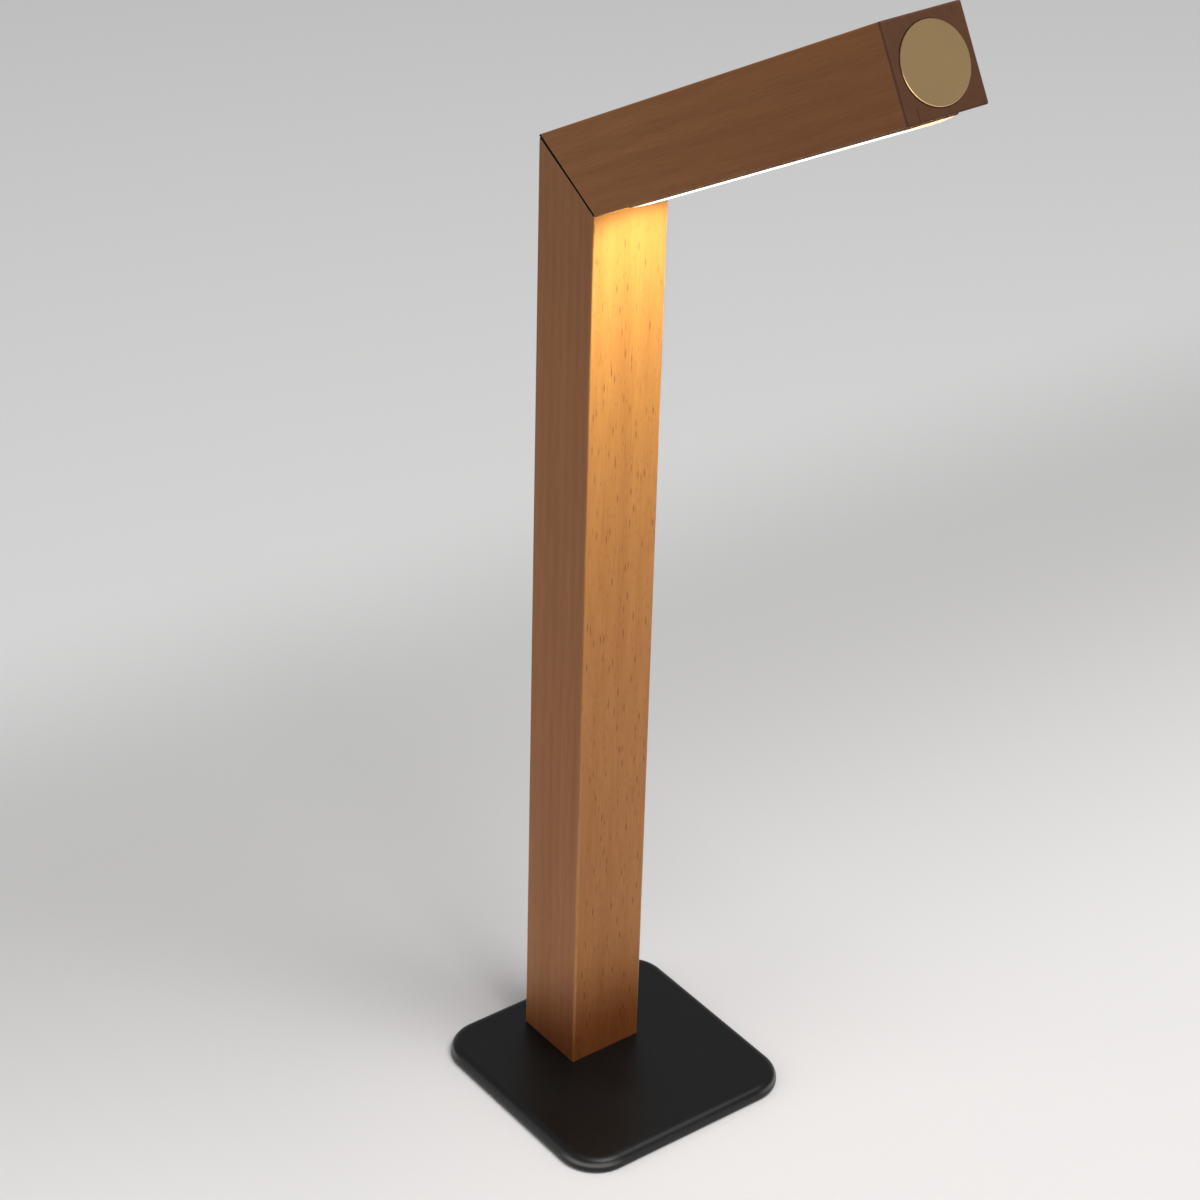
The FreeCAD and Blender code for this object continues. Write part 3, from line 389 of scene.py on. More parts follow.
# Cells and their contacts: two round lithium cells in plain blue shrink film, nose to tail,
# between a dished spring contact below and a flat contact above, both stamped from brass strip.
film_blue = (0.020, 0.075, 0.160, 1)
film_pale = (0.030, 0.105, 0.210, 1)
can_steel = (0.62, 0.62, 0.62, 1)
film_patch_size = 0.008
film_ripple = 0.00006
brass_light = (0.78, 0.58, 0.25, 1)
brass_dark = (0.58, 0.40, 0.15, 1)

shrink_film, tree, shader, place = finish_named("shrink_film")
patches = put(tree, "ShaderNodeGroup", {"Vector": place, "Patch Size": film_patch_size}, node_tree=handling)
facing = put(tree, "ShaderNodeSeparateXYZ", {0: put(tree, "ShaderNodeNewGeometry").outputs["Normal"]})
is_end = spread(tree, math_of(tree, "ABSOLUTE", facing.outputs["Z"]), 0.9, 0.95)
film = blended(tree, patches.outputs["Patches"], film_blue, film_pale)
feed(tree, shader, Base_Color=blended(tree, is_end, film, can_steel), Metallic=is_end,
     Roughness=spread(tree, patches.outputs["Patches"], 0.0, 1.0, 0.22, 0.34))
relief(tree, shader, patches.outputs["Patches"], film_ripple)
strip_brass = bare_metal("strip_brass", brass_light, brass_dark, 0.0002, 0.22, 0.38)
wear(shrink_film, "battery_cell_lower", "battery_cell_upper")
wear(strip_brass, "lower_contact", "upper_contact")

# Post: a square bar of stained and oiled beech, planed, mitred at the top and bored from the foot.
# Its edges are eased by hand; short dark flecks of beech run with the grain.
# Painted shade darkens the foot, the faces beside the mitre gap and, a little, the top of the post.
beech_light = (0.400, 0.166, 0.056, 1)
beech_dark = (0.290, 0.109, 0.034, 1)
fleck_brown = (0.130, 0.044, 0.013, 1)
edge_light = (0.52, 0.26, 0.11, 1)
ray_sizes = [(0.0014, 0.0088, 0.80), (0.0009, 0.0045, 0.45)]
far_side_shift = 0.37
fibre_width = 0.00055
fibre_depth = 0.00004
ring_width = 0.0042
face_blend = 0.0002
eased_reach = (0.0011, 0.0004)
wood_patch_size = 0.05
foot_shade_tint = (0.45, 0.31, 0.17, 1)
foot_shade_slope = -0.7
foot_shade_range = (0.041, -0.004)
top_shade_tint = (0.87, 0.86, 0.87, 1)
top_shade_range = (0.27, 0.35)
pale_edge_length = (0.04, 0.16)
joint_shade_brown = (0.012, 0.006, 0.004, 1)
joint_shade_reach = (0.0007, 0.0004)
joint_fade = 0.0002
bar_half = (post_high.x - post_low.x) / 2
swivel = next(joint for joint in frame["joints"] if joint["name"] == "arm_swivel")
pivot = Vector(swivel["pos_m"])
mitre_normal = Vector(swivel["axis"])
arm_turn = 2 * math.atan2(mitre_normal.x, mitre_normal.z)

# beech figure: growth rings, fibres and ray flecks of a board whose grain runs along z
beech_figure, entry, exits = shader_group(
    "beech_figure", [("Vector", "Vector"), ("Cut From", "Vector")],
    [("Colour", "Color"), ("Gloss", "Float"), ("Height", "Float")])
in_tree = put(beech_figure, "ShaderNodeVectorMath", {0: entry["Vector"], 1: entry["Cut From"]},
              operation="ADD").outputs[0]


def stretched_along(tree, vector, scale):
    """Coordinates scaled differently across and along the grain."""
    return put(tree, "ShaderNodeVectorMath", {0: vector, 1: scale}, operation="MULTIPLY").outputs[0]


sway = put(beech_figure, "ShaderNodeTexNoise", {
    "Vector": stretched_along(beech_figure, in_tree, (28, 28, 5)), "Scale": 1.0, "Detail": 2.0})
swayed = put(beech_figure, "ShaderNodeVectorMath", {
    0: in_tree, 1: stretched_along(beech_figure, sway.outputs["Color"], (0.006, 0.006, 0))}, operation="ADD")
rings = put(beech_figure, "ShaderNodeTexWave", {
    "Vector": stretched_along(beech_figure, swayed.outputs[0], (1, 1, 0.05)), "Scale": 0.314 / ring_width,
    "Distortion": 1.2, "Detail": 2.0, "Detail Scale": 1.4}, wave_type="RINGS", rings_direction="Z")
tone = put(beech_figure, "ShaderNodeTexNoise", {
    "Vector": stretched_along(beech_figure, in_tree, (110, 110, 7)), "Scale": 1.0, "Detail": 4.0})
fibres = put(beech_figure, "ShaderNodeTexNoise", {
    "Vector": stretched_along(beech_figure, in_tree, (1 / fibre_width, 1 / fibre_width, 55)),
    "Scale": 1.0, "Detail": 3.0, "Roughness": 0.65})
on_face = put(beech_figure, "ShaderNodeSeparateXYZ", {0: entry["Vector"]})
in_wood = put(beech_figure, "ShaderNodeSeparateXYZ", {0: in_tree})
off_x = math_of(beech_figure, "ABSOLUTE", on_face.outputs["X"])
off_y = math_of(beech_figure, "ABSOLUTE", on_face.outputs["Y"])
is_flat_sawn = spread(beech_figure, math_of(beech_figure, "SUBTRACT", off_x, off_y), -face_blend, face_blend)
is_far_side = math_of(beech_figure, "GREATER_THAN", on_face.outputs["X"], 0.0)
across_rays = math_of(beech_figure, "MULTIPLY_ADD", is_far_side, far_side_shift, in_wood.outputs["Y"])
ray_face = put(beech_figure, "ShaderNodeCombineXYZ", {"X": across_rays, "Y": in_wood.outputs["Z"]}).outputs[0]
flecks = None
for spacing, run, depth in ray_sizes:
    ray_cells = put(beech_figure, "ShaderNodeTexVoronoi", {
        "Vector": stretched_along(beech_figure, ray_face, (1 / spacing, 1 / run, 0)), "Scale": 1.0},
        voronoi_dimensions="2D")
    ray_lot = put(beech_figure, "ShaderNodeSeparateColor", {0: ray_cells.outputs["Color"]})
    ray_shape = spread(beech_figure, ray_cells.outputs["Distance"], 0.29, 0.06)
    ray_strength = spread(beech_figure, ray_lot.outputs[0], 0.66, 0.96, 0.0, depth)
    rays = math_of(beech_figure, "MULTIPLY", ray_shape, ray_strength)
    flecks = rays if flecks is None else math_of(beech_figure, "MAXIMUM", flecks, rays)
flecks = math_of(beech_figure, "MULTIPLY", flecks, is_flat_sawn)
shade = math_of(beech_figure, "MULTIPLY_ADD", rings.outputs["Fac"], 0.12,
                math_of(beech_figure, "MULTIPLY_ADD", tone.outputs[0], 0.75,
                        math_of(beech_figure, "MULTIPLY", fibres.outputs[0], 0.90)))
ground = blended(beech_figure, spread(beech_figure, shade, 0.45, 1.35), beech_light, beech_dark)
beech_figure.links.new(blended(beech_figure, flecks, ground, fleck_brown), exits["Colour"])
beech_figure.links.new(spread(beech_figure, shade, 0.4, 1.4, 0.44, 0.58), exits["Gloss"])
beech_figure.links.new(math_of(beech_figure, "SUBTRACT", fibres.outputs[0], flecks), exits["Height"])

# eased edges: a paler line along the corners of a square bar, on coordinates centred in the bar
eased_edges, entry, exits = shader_group(
    "eased_edges", [("Vector", "Vector"), ("Half Width", "Float")], [("Pale Edge", "Float")])
from_axis = put(eased_edges, "ShaderNodeSeparateXYZ", {0: entry["Vector"]})
corner_reach = math_of(eased_edges, "ADD", math_of(eased_edges, "ABSOLUTE", from_axis.outputs["X"]),
                       math_of(eased_edges, "ABSOLUTE", from_axis.outputs["Y"]))
short_of_corner = math_of(eased_edges, "SUBTRACT", math_of(eased_edges, "MULTIPLY", entry["Half Width"], 2.0),
                          corner_reach)
uneven = put(eased_edges, "ShaderNodeTexNoise", {
    "Vector": stretched_along(eased_edges, entry["Vector"], (300, 300, 60)), "Scale": 1.0, "Detail": 3.0})
at_edge = spread(eased_edges, short_of_corner, eased_reach[0], eased_reach[1])
unevenly = spread(eased_edges, uneven.outputs[0], 0.3, 0.7, 0.35, 1.0)
eased_edges.links.new(math_of(eased_edges, "MULTIPLY", at_edge, unevenly), exits["Pale Edge"])


def beech(name, centre, turn, cut_from, pale_edge_start, pale_edge_on):
    """Stained beech for one bar, with the grain along the bar; also what goes into its colour."""
    material, tree, shader, place = finish_named(name)
    along_bar = put(tree, "ShaderNodeMapping", {"Vector": place, "Location": centre, "Rotation": turn},
                    vector_type="TEXTURE").outputs[0]
    figure = put(tree, "ShaderNodeGroup", {"Vector": along_bar, "Cut From": cut_from}, node_tree=beech_figure)
    edges = put(tree, "ShaderNodeGroup", {"Vector": along_bar, "Half Width": bar_half}, node_tree=eased_edges)
    touched = put(tree, "ShaderNodeGroup", {"Vector": place, "Patch Size": wood_patch_size},
                  node_tree=handling)
    oiled = blended(tree, math_of(tree, "MULTIPLY", touched.outputs["Patches"], 0.16),
                    figure.outputs["Colour"], beech_dark)
    along = put(tree, "ShaderNodeSeparateXYZ", {0: along_bar})
    pale_edge_share = spread(tree, along.outputs["Z"], pale_edge_length[0], pale_edge_length[1], pale_edge_start, pale_edge_on)
    pale_edged = blended(tree, math_of(tree, "MULTIPLY", edges.outputs["Pale Edge"], pale_edge_share), oiled, edge_light)
    # painted shade: the wood is darkened next to the mitre line, as the shadow of the gap
    off_joint = put(tree, "ShaderNodeMapping", {
        "Vector": place, "Location": pivot, "Rotation": (0, arm_turn / 2, 0)}, vector_type="TEXTURE")
    joint_spot = put(tree, "ShaderNodeSeparateXYZ", {0: off_joint.outputs[0]})
    joint_shade_width = spread(tree, joint_spot.outputs["X"], -bar_half, bar_half, joint_shade_reach[0], joint_shade_reach[1])
    at_joint = spread(tree, math_of(tree, "ABSOLUTE", joint_spot.outputs["Z"]), joint_shade_width,
                      math_of(tree, "SUBTRACT", joint_shade_width, joint_fade))
    colour = blended(tree, at_joint, pale_edged, joint_shade_brown)
    feed(tree, shader, Base_Color=colour, Roughness=figure.outputs["Gloss"])
    shader.inputs["Specular IOR Level"].default_value = 0.30
    relief(tree, shader, figure.outputs["Height"], fibre_depth)
    return material, tree, shader, along_bar, colour


post_beech, tree, shader, along_bar, colour = beech(
    "post_beech", post_foot, turn=(0, 0, 0), cut_from=(0.052, 0.031, 0.40),
    pale_edge_start=0.90, pale_edge_on=0.10)
on_bar = put(tree, "ShaderNodeSeparateXYZ", {0: along_bar})
# painted shade: the foot is darkened where the plate shades it, reaching higher on the +x face
foot_shade_height = math_of(tree, "MULTIPLY_ADD", on_bar.outputs["X"], foot_shade_slope, on_bar.outputs["Z"])
is_foot_shaded = spread(tree, foot_shade_height, foot_shade_range[0], foot_shade_range[1])
foot_shaded = blended(tree, is_foot_shaded, colour, foot_shade_tint, "MULTIPLY")
# painted shade: the post is a little darker near its top
near_top = spread(tree, on_bar.outputs["Z"], top_shade_range[0], top_shade_range[1])
feed(tree, shader, Base_Color=blended(tree, near_top, foot_shaded, top_shade_tint, "MULTIPLY"))
wear(post_beech, "post")

# Swivel, post half: a steel plate with an arc slot, screwed into the mitre, and a bush pressed into it.
# Nylon and fibre washers and a dished spring under it set how stiffly the arm turns.
fibre_brown = (0.120, 0.060, 0.030, 1)
fibre_red = (0.190, 0.090, 0.045, 1)
hard_fibre = moulded("hard_fibre", fibre_brown, fibre_red, 0.0003, 0.6, 0.75)
wear(plated_steel, "post_pivot_plate", "post_plate_screws", "spring_washer")
wear(strip_brass, "pivot_bush")
wear(grey_nylon, "slip_washer")
wear(hard_fibre, "friction_washer")

# Arm: a second bar of the same beech, mitred to the post, grooved for the light and bored for the leads.
# The stain sank deeper into the end grain round the brass disc, which is darker and cooler.
arm_space = Matrix.Translation(pivot) @ Matrix.Rotation(arm_turn, 4, "Y")
arm_end = max((arm_space.inverted() @ corner.co).z for corner in nodes["arm_beam"].data.vertices)
end_tint = (0.34, 0.34, 0.46, 1)
end_grain_depth = (0.0011, 0.0007)
arm_shade_start = (0.90, 0.88, 0.78, 1)
arm_shade_end = (0.78, 0.70, 0.56, 1)

arm_beech, tree, shader, along_bar, colour = beech(
    "arm_beech", pivot, turn=(0, arm_turn, 0), cut_from=(0.041, -0.046, 0.10),
    pale_edge_start=0.06, pale_edge_on=0.06)
on_bar = put(tree, "ShaderNodeSeparateXYZ", {0: along_bar})
is_end_grain = spread(tree, on_bar.outputs["Z"], arm_end - end_grain_depth[0], arm_end - end_grain_depth[1])
# painted shade: the arm's faces are multiplied darker and cooler along its length, most towards its end
arm_shade = blended(tree, spread(tree, on_bar.outputs["Z"], 0.0, arm_end), arm_shade_start, arm_shade_end)
arm_shaded = blended(tree, 1.0, colour, arm_shade, "MULTIPLY")
feed(tree, shader, Base_Color=blended(tree, is_end_grain, arm_shaded, end_tint, "MULTIPLY"))
wear(arm_beech, "arm_beam")

# Swivel shim: a thin black nylon frame, die cut, glued to the post's mitre round the steel plate, put in as
# painted shade for the open line.
# It fills the open line so that no light shows through, and the arm slides over it.
shim_thickness = 0.0005
shim_setback = 0.00015
shim_steps = 64
shim_shade_black = (0.0015, 0.0010, 0.0008, 1)
shim_shade_brown = (0.0030, 0.0020, 0.0016, 1)
mitre_space = Matrix.Translation(pivot) @ Matrix.Rotation(arm_turn / 2, 4, "Y")
post_mitre = max((mitre_space.inverted() @ corner.co).z for corner in nodes["post"].data.vertices)
pivot_plate_low, pivot_plate_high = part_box("post_pivot_plate")
shim_hole = (pivot_plate_high.y - pivot_plate_low.y) / 2 + shim_setback
shim_half_width = bar_half - shim_setback
shim_half_length = bar_half / mitre_normal.z - shim_setback
corner_angle = math.atan2(shim_half_width, shim_half_length)
corner_angles = [corner_angle, math.pi - corner_angle, math.pi + corner_angle, 2 * math.pi - corner_angle]
shim_angles = sorted([2 * math.pi * step / shim_steps for step in range(shim_steps)] + corner_angles)

shim_form = bmesh.new()
shim_rings = []
for angle in shim_angles:
    along, across = math.cos(angle), math.sin(angle)
    reach = 1 / max(abs(along) / shim_half_length, abs(across) / shim_half_width)
    ends = [(shim_hole, 0), (reach, 0), (reach, shim_thickness), (shim_hole, shim_thickness)]
    spots = [(along * out, across * out, post_mitre + rise) for out, rise in ends]
    shim_rings.append([shim_form.verts.new(spot) for spot in spots])
for here, after in zip(shim_rings, shim_rings[1:] + shim_rings[:1]):
    for side in range(4):
        shim_form.faces.new((here[side], here[side - 3], after[side - 3], after[side]))
bmesh.ops.recalc_face_normals(shim_form, faces=shim_form.faces)
shim_mesh = bpy.data.meshes.new("swivel_shade_shim")
shim_form.to_mesh(shim_mesh)
shim_mesh.transform(mitre_space)
swivel_shade_shim = bpy.data.objects.new("swivel_shade_shim", shim_mesh)
bpy.context.scene.collection.objects.link(swivel_shade_shim)
# painted shade: a near-black finish with almost no reflection for the sheet in the open line
matt_shade_black = moulded("matt_shade_black", shim_shade_black, shim_shade_brown, 0.0003, 0.85, 0.95)
matt_shade_black.node_tree.nodes["Principled BSDF"].inputs["Specular IOR Level"].default_value = 0.05
shim_mesh.materials.append(matt_shade_black)
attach(swivel_shade_shim, "stand")

# Swivel, arm half: a steel plate with a stop pin, screwed into the arm's mitre.
# A hollow bolt with a thin nut holds both halves together and lets the lead through.
wear(plated_steel, "arm_pivot_plate", "arm_plate_screws", "stop_pin", "pivot_bolt", "pivot_nut")

# Light channel: an extruded aluminium channel screwed into the arm's groove, which also takes the heat.
# White moulded caps close its two ends.
cap_white = (0.78, 0.77, 0.74, 1)
cap_shade = (0.70, 0.69, 0.66, 1)
extruded_aluminium = bare_metal("extruded_aluminium", aluminium_light, aluminium_dark, 0.0002, 0.30, 0.45,
                                turn=(0, arm_turn, 0))
white_plastic = moulded("white_plastic", cap_shade, cap_white, 0.0005, 0.42, 0.55)
wear(extruded_aluminium, "led_channel")
wear(plated_steel, "channel_screws")
wear(white_plastic, "channel_caps")

# Light board: an aluminium-core board with white solder mask and a pair of gold pads beside each light.
# The lights are small white cups filled with phosphor, soldered on in one row.
mask_white = (0.80, 0.80, 0.78, 1)
mask_shade = (0.70, 0.70, 0.68, 1)
phosphor_yellow = (0.85, 0.56, 0.10, 1)
phosphor_pale = (0.92, 0.72, 0.22, 1)
light_count = 16
light_size = Vector((0.0028, 0.0035, 0.0007))
phosphor_radius = 0.0011
gold_pad_reach = (0.0013, 0.0012)
gold_pad_offset = 0.0024
gold_pad_half = (0.0008, 0.0007)
light_spots = [arm_space.inverted() @ corner.co for corner in nodes["led_chips"].data.vertices]
first_light = min(spot.z for spot in light_spots) + light_size.y / 2
last_light = max(spot.z for spot in light_spots) - light_size.y / 2
light_pitch = (last_light - first_light) / (light_count - 1)
board_face = min(spot.x for spot in light_spots)

white_mask, tree, shader, place = finish_named("white_mask")
along_strip = put(tree, "ShaderNodeMapping", {
    "Vector": place, "Location": arm_space @ Vector((0, 0, first_light)), "Rotation": (0, arm_turn, 0)},
    vector_type="TEXTURE")
spot = put(tree, "ShaderNodeSeparateXYZ", {0: along_strip.outputs[0]})
from_light = math_of(tree, "PINGPONG", spot.outputs["Z"], light_pitch / 2)
beside_light = spread(tree, from_light, gold_pad_reach[0], gold_pad_reach[1])
off_middle = math_of(tree, "ABSOLUTE", spot.outputs["Y"])
off_pad = math_of(tree, "ABSOLUTE", math_of(tree, "SUBTRACT", off_middle, gold_pad_offset))
is_gold = math_of(tree, "MULTIPLY", beside_light, spread(tree, off_pad, gold_pad_half[0], gold_pad_half[1]))
skin = put(tree, "ShaderNodeGroup", {"Vector": place, "Pebble Size": 0.0006}, node_tree=pebbled_skin)
mask_colour = blended(tree, skin.outputs["Shade"], mask_shade, mask_white)
feed(tree, shader, Base_Color=blended(tree, is_gold, mask_colour, pad_gold), Metallic=is_gold,
     Roughness=spread(tree, skin.outputs["Shade"], 0.3, 0.7, 0.3, 0.42))
wear(white_mask, "led_board")

phosphor, tree, shader, place = finish_named("phosphor")
skin = put(tree, "ShaderNodeGroup", {"Vector": place, "Pebble Size": 0.0002}, node_tree=pebbled_skin)
feed(tree, shader, Base_Color=blended(tree, skin.outputs["Shade"], phosphor_yellow, phosphor_pale),
     Roughness=spread(tree, skin.outputs["Shade"], 0.3, 0.7, 0.18, 0.3))
wear(phosphor, "led_chips")

light_row, entry, exits = geometry_tree("light_row", [
    ("Count", "Int"), ("Pitch", "Float"), ("Size", "Vector"), ("Phosphor Radius", "Float"),
    ("Cup", "Material"), ("Phosphor", "Material")])
row_step = put(light_row, "ShaderNodeCombineXYZ", {"Z": entry["Pitch"]})
row = put(light_row, "GeometryNodeMeshLine", {"Count": entry["Count"], "Offset": row_step.outputs[0]})
size_parts = put(light_row, "ShaderNodeSeparateXYZ", {0: entry["Size"]})
cup_size = put(light_row, "ShaderNodeCombineXYZ", {
    "X": size_parts.outputs["Z"], "Y": size_parts.outputs["X"], "Z": size_parts.outputs["Y"]})
cup = put(light_row, "GeometryNodeMeshCube", {"Size": cup_size.outputs[0]})
cup_made = put(light_row, "GeometryNodeSetMaterial", {
    "Geometry": cup.outputs["Mesh"], "Material": entry["Cup"]})
dome_depth = math_of(light_row, "MULTIPLY", size_parts.outputs["Z"], 0.9)
dome = put(light_row, "GeometryNodeMeshCylinder", {
    "Vertices": 20, "Radius": entry["Phosphor Radius"], "Depth": dome_depth})
dome_lift = math_of(light_row, "MULTIPLY", size_parts.outputs["Z"], 0.12)
dome_out = put(light_row, "ShaderNodeCombineXYZ", {"X": dome_lift})
dome_set = put(light_row, "GeometryNodeTransform", {
    "Geometry": dome.outputs["Mesh"], "Translation": dome_out.outputs[0], "Rotation": (0, math.pi / 2, 0)})
dome_made = put(light_row, "GeometryNodeSetMaterial", {
    "Geometry": dome_set.outputs["Geometry"], "Material": entry["Phosphor"]})
one_light = put(light_row, "GeometryNodeJoinGeometry")
light_row.links.new(cup_made.outputs["Geometry"], one_light.inputs["Geometry"])
light_row.links.new(dome_made.outputs["Geometry"], one_light.inputs["Geometry"])
lights = put(light_row, "GeometryNodeInstanceOnPoints", {
    "Points": row.outputs["Mesh"], "Instance": one_light.outputs["Geometry"]})
real = put(light_row, "GeometryNodeRealizeInstances", {"Geometry": lights.outputs["Instances"]})
light_row.links.new(real.outputs["Geometry"], exits["Geometry"])
led_lights = grow("led_lights", light_row, {
    "Count": light_count, "Pitch": light_pitch, "Size": light_size, "Phosphor Radius": phosphor_radius,
    "Cup": white_plastic, "Phosphor": phosphor})
led_lights.data.transform(arm_space @ Matrix.Translation((board_face + light_size.z / 2, 0, first_light)))
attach(led_lights, "arm")
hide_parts("led_chips")

# Diffuser: an extruded strip of milky acrylic that snaps into the channel and stands proud of the wood.
# It glows warm white along its whole length, a little weaker towards its ends.
# A dark line along its foot stands for the shadow gap between it and the wood.
lit_colour = (81, 89, 50, 1)
lit_end_colour = (80, 80, 44.7, 1)
seen_strength = 1.6
unlit_black = (0, 0, 0, 1)
seen_colour = (1.0, 0.90, 0.78, 1)
seen_end_colour = (0.56, 0.43, 0.35, 1)
edge_black = (0.012, 0.008, 0.006, 1)
edge_height = 0.0005
edge_fade = 0.0001
end_fade = 0.008
milky_white = (0.80, 0.78, 0.72, 1)
milky_shade = (0.76, 0.74, 0.68, 1)
strip_spots = [arm_space.inverted() @ corner.co for corner in nodes["diffuser"].data.vertices]
strip_start = min(spot.z for spot in strip_spots)
strip_end = max(spot.z for spot in strip_spots)

milky_acrylic, tree, shader, place = finish_named("milky_acrylic")
along_strip = put(tree, "ShaderNodeMapping", {
    "Vector": place, "Location": pivot, "Rotation": (0, arm_turn, 0)}, vector_type="TEXTURE")
spot = put(tree, "ShaderNodeSeparateXYZ", {0: along_strip.outputs[0]})
from_ends = math_of(tree, "MINIMUM", math_of(tree, "SUBTRACT", spot.outputs["Z"], strip_start),
                    math_of(tree, "SUBTRACT", strip_end, spot.outputs["Z"]))
skin = put(tree, "ShaderNodeGroup", {"Vector": place, "Pebble Size": 0.001}, node_tree=pebbled_skin)
camera_ray = put(tree, "ShaderNodeLightPath").outputs["Is Camera Ray"]
off_end = spread(tree, from_ends, 0.0, end_fade)
lit = blended(tree, off_end, lit_end_colour, lit_colour)
above_wood = math_of(tree, "SUBTRACT", spot.outputs["X"], bar_half)
is_clear = spread(tree, above_wood, edge_height, edge_height + edge_fade)
seen_lit = blended(tree, is_clear, unlit_black, blended(tree, off_end, seen_end_colour, seen_colour))
milky = blended(tree, skin.outputs["Shade"], milky_shade, milky_white)
feed(tree, shader, Base_Color=blended(tree, is_clear, edge_black, milky),
     Roughness=spread(tree, skin.outputs["Shade"], 0.3, 0.7, 0.34, 0.44),
     Emission_Color=blended(tree, camera_ray, lit, seen_lit))
shader.inputs["Emission Strength"].default_value = seen_strength
wear(milky_acrylic, "diffuser")

# Switch: a black moulded housing glued into the arm's pocket holds a sealed push switch.
# A steel stem with a clip carries the disc and pushes the switch's white plunger.
wear(black_plastic, "switch_housing", "switch_module")
wear(plated_steel, "switch_stem", "stem_clip")
wear(white_plastic, "switch_plunger")

# Brass disc: turned from brass bar, satin finished and lacquered, with a small round on its rim.
# It stands a little proud of the arm's end, with an open ring round it, and is pressed to switch the light.
disc_brass_light = (0.886, 0.610, 0.306, 1)
disc_brass_dark = (0.778, 0.531, 0.259, 1)
turning_pitch = 0.00016
turning_depth = 0.000004
disc_patch_size = 0.016
disc_low, disc_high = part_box("switch_disc")
disc_middle = (disc_low + disc_high) / 2

satin_brass, tree, shader, place = finish_named("satin_brass")
on_disc = put(tree, "ShaderNodeMapping", {
    "Vector": place, "Location": disc_middle, "Rotation": (0, arm_turn, 0)}, vector_type="TEXTURE")
flat = put(tree, "ShaderNodeVectorMath", {0: on_disc.outputs[0], 1: (1, 1, 0)}, operation="MULTIPLY")
radius = put(tree, "ShaderNodeVectorMath", {0: flat.outputs[0]}, operation="LENGTH")
turning = put(tree, "ShaderNodeTexNoise", {
    "W": math_of(tree, "DIVIDE", radius.outputs["Value"], turning_pitch), "Scale": 1.0, "Detail": 2.0},
    noise_dimensions="1D")
touched = put(tree, "ShaderNodeGroup", {"Vector": place, "Patch Size": disc_patch_size}, node_tree=handling)
clouded = math_of(tree, "MULTIPLY_ADD", turning.outputs[0], 0.7,
                  math_of(tree, "MULTIPLY", touched.outputs["Patches"], 0.16))
feed(tree, shader, Base_Color=blended(tree, clouded, disc_brass_dark, disc_brass_light),
     Roughness=spread(tree, touched.outputs["Patches"], 0.0, 1.0, 0.385, 0.405))
shader.inputs["Metallic"].default_value = 1.0
relief(tree, shader, turning.outputs[0], turning_depth)
wear(satin_brass, "switch_disc")

# Leads: soft two-core silicone leads, laid in the post's groove, through the swivel and along the arm.
# They are soldered to the boards and the switch at their ends.
sheath_black = (0.012, 0.012, 0.013, 1)
sheath_grey = (0.030, 0.030, 0.032, 1)
silicone = moulded("silicone", sheath_black, sheath_grey, 0.0004, 0.38, 0.5)
wear(silicone, "post_lead", "arm_lead", "led_lead")

# Studio: a pale table top, its colour painted with a light falloff, under soft light from above, with a
# weaker fill from the side.
# The lens's light isn't cast on the table top or the plate, and the disc has a small light of its own.
table_pale = (0.87, 0.85, 0.84, 1)
table_shade_band = (0.60, 0.595, 0.59, 1)
table_far = (0.75, 0.75, 0.745, 1)
table_bounce_dim = (0.20, 0.20, 0.20, 1)
table_side = 12.0
table_drop = 0.00005
front_turn = math.radians(-5)
far_range = (-0.40, -0.25)
near_range = (-0.24, 0.08)
bounce_pool_range = (0.08, 0.5)
backdrop_grey = (0.330, 0.330, 0.333, 1)
table_mesh = bpy.data.meshes.new("table_top")
reach = table_side / 2
table_mesh.from_pydata([(-reach, -reach, -table_drop), (reach, -reach, -table_drop),
                        (reach, reach, -table_drop), (-reach, reach, -table_drop)], [], [(0, 1, 2, 3)])
table_top = bpy.data.objects.new("table_top", table_mesh)
bpy.context.scene.collection.objects.link(table_top)
pale_table, tree, shader, place = finish_named("pale_table")
from_lamp = put(tree, "ShaderNodeVectorMath", {0: place}, operation="LENGTH").outputs["Value"]
towards_front = put(tree, "ShaderNodeMapping", {"Vector": place, "Rotation": (0, 0, front_turn)},
                    vector_type="TEXTURE")
front = put(tree, "ShaderNodeSeparateXYZ", {0: towards_front.outputs[0]}).outputs["X"]
# painted light falloff: the seen table is darker in a band behind the lamp and pale in front of it
behind_with_falloff = blended(tree, spread(tree, front, far_range[0], far_range[1]), table_far, table_shade_band)
seen_table_falloff = blended(tree, spread(tree, front, near_range[0], near_range[1]), behind_with_falloff, table_pale)
# painted pool of light: the light the table bounces is pale near the lamp and dim further out
bounce_light_pool = blended(tree, spread(tree, from_lamp, bounce_pool_range[0], bounce_pool_range[1]), table_pale, table_bounce_dim)
ray_kinds = put(tree, "ShaderNodeLightPath").outputs
mirrored = math_of(tree, "MAXIMUM", ray_kinds["Is Glossy Ray"], ray_kinds["Is Transmission Ray"])
is_seen = math_of(tree, "MAXIMUM", ray_kinds["Is Camera Ray"], mirrored)
feed(tree, shader, Base_Color=blended(tree, is_seen, bounce_light_pool, seen_table_falloff))
shader.inputs["Roughness"].default_value = 0.8
shader.inputs["Specular IOR Level"].default_value = 0.15
table_mesh.materials.append(pale_table)
room_lit = bpy.data.collections.new("room_lit")
for unlit in (table_top, nodes["base_plate"]):
    room_lit.objects.link(unlit)
for entry in room_lit.collection_objects:
    entry.light_linking.link_state = "EXCLUDE"
nodes["diffuser"].light_linking.receiver_collection = room_lit

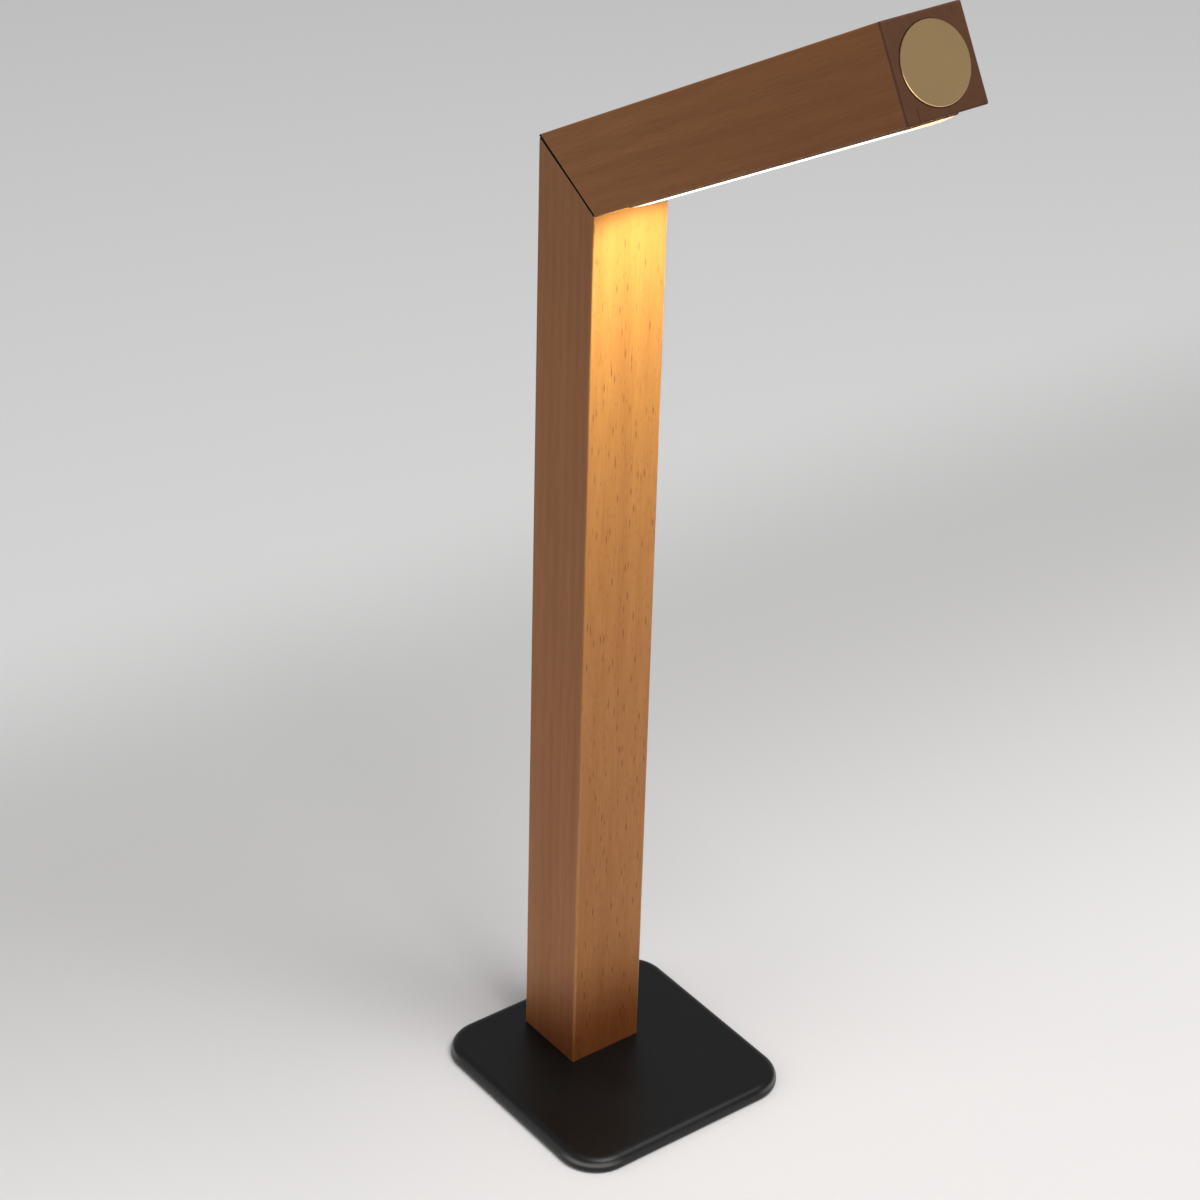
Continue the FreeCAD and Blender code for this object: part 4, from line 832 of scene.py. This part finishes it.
lamp_middle = (cad_box[0] + cad_box[1]) / 2


def softbox(name, place, side, power, lit=None):
    """A square soft light that faces the middle of the lamp; it can leave pieces out, or be kept to them."""
    light = bpy.data.lights.new(name, "AREA")
    light.shape = "SQUARE"
    light.size = side
    light.energy = power
    box = bpy.data.objects.new(name, light)
    bpy.context.scene.collection.objects.link(box)
    box.location = place
    box.rotation_mode = "QUATERNION"
    box.rotation_quaternion = (lamp_middle - Vector(place)).to_track_quat("-Z", "Y")
    box.visible_camera = False
    box.light_linking.receiver_collection = lit


disc_left_out = bpy.data.collections.new("disc_left_out")
disc_left_out.objects.link(nodes["switch_disc"])
disc_left_out.collection_objects[0].light_linking.link_state = "EXCLUDE"
disc_only = bpy.data.collections.new("disc_only")
disc_only.objects.link(nodes["switch_disc"])
softbox("key_light", place=(1.0, 0.2, 2.3), side=1.4, power=44, lit=disc_left_out)
softbox("fill_light", place=(-0.6, -1.9, 1.0), side=1.6, power=9, lit=disc_left_out)
softbox("rim_light", place=(0.60, -0.38, 0.14), side=0.5, power=2, lit=disc_only)

world = bpy.data.worlds.new("studio")
bpy.context.scene.world = world
world.use_nodes = True
world.node_tree.nodes["Background"].inputs["Color"].default_value = backdrop_grey

# Camera: the photograph's viewing angle, from above and from the right of the arm's end.
# Its place, turn and lens come from a fit of the bars', the mitre's and the plate's edges.
camera_place = (0.75413, -0.59620, 0.79401)
camera_azimuth = math.radians(52.2442)
camera_elevation = math.radians(31.5663)
camera_roll = math.radians(1.59)
lens = bpy.data.cameras.new("camera")
lens.sensor_width = 36.0
lens.lens = 99.371
camera = bpy.data.objects.new("camera", lens)
bpy.context.scene.collection.objects.link(camera)
camera.matrix_world = (Matrix.Translation(camera_place) @ Matrix.Rotation(camera_azimuth, 4, "Z")
                       @ Matrix.Rotation(math.pi / 2 - camera_elevation, 4, "X")
                       @ Matrix.Rotation(camera_roll, 4, "Z"))
bpy.context.scene.camera = camera
bpy.context.scene.view_settings.view_transform = "Standard"
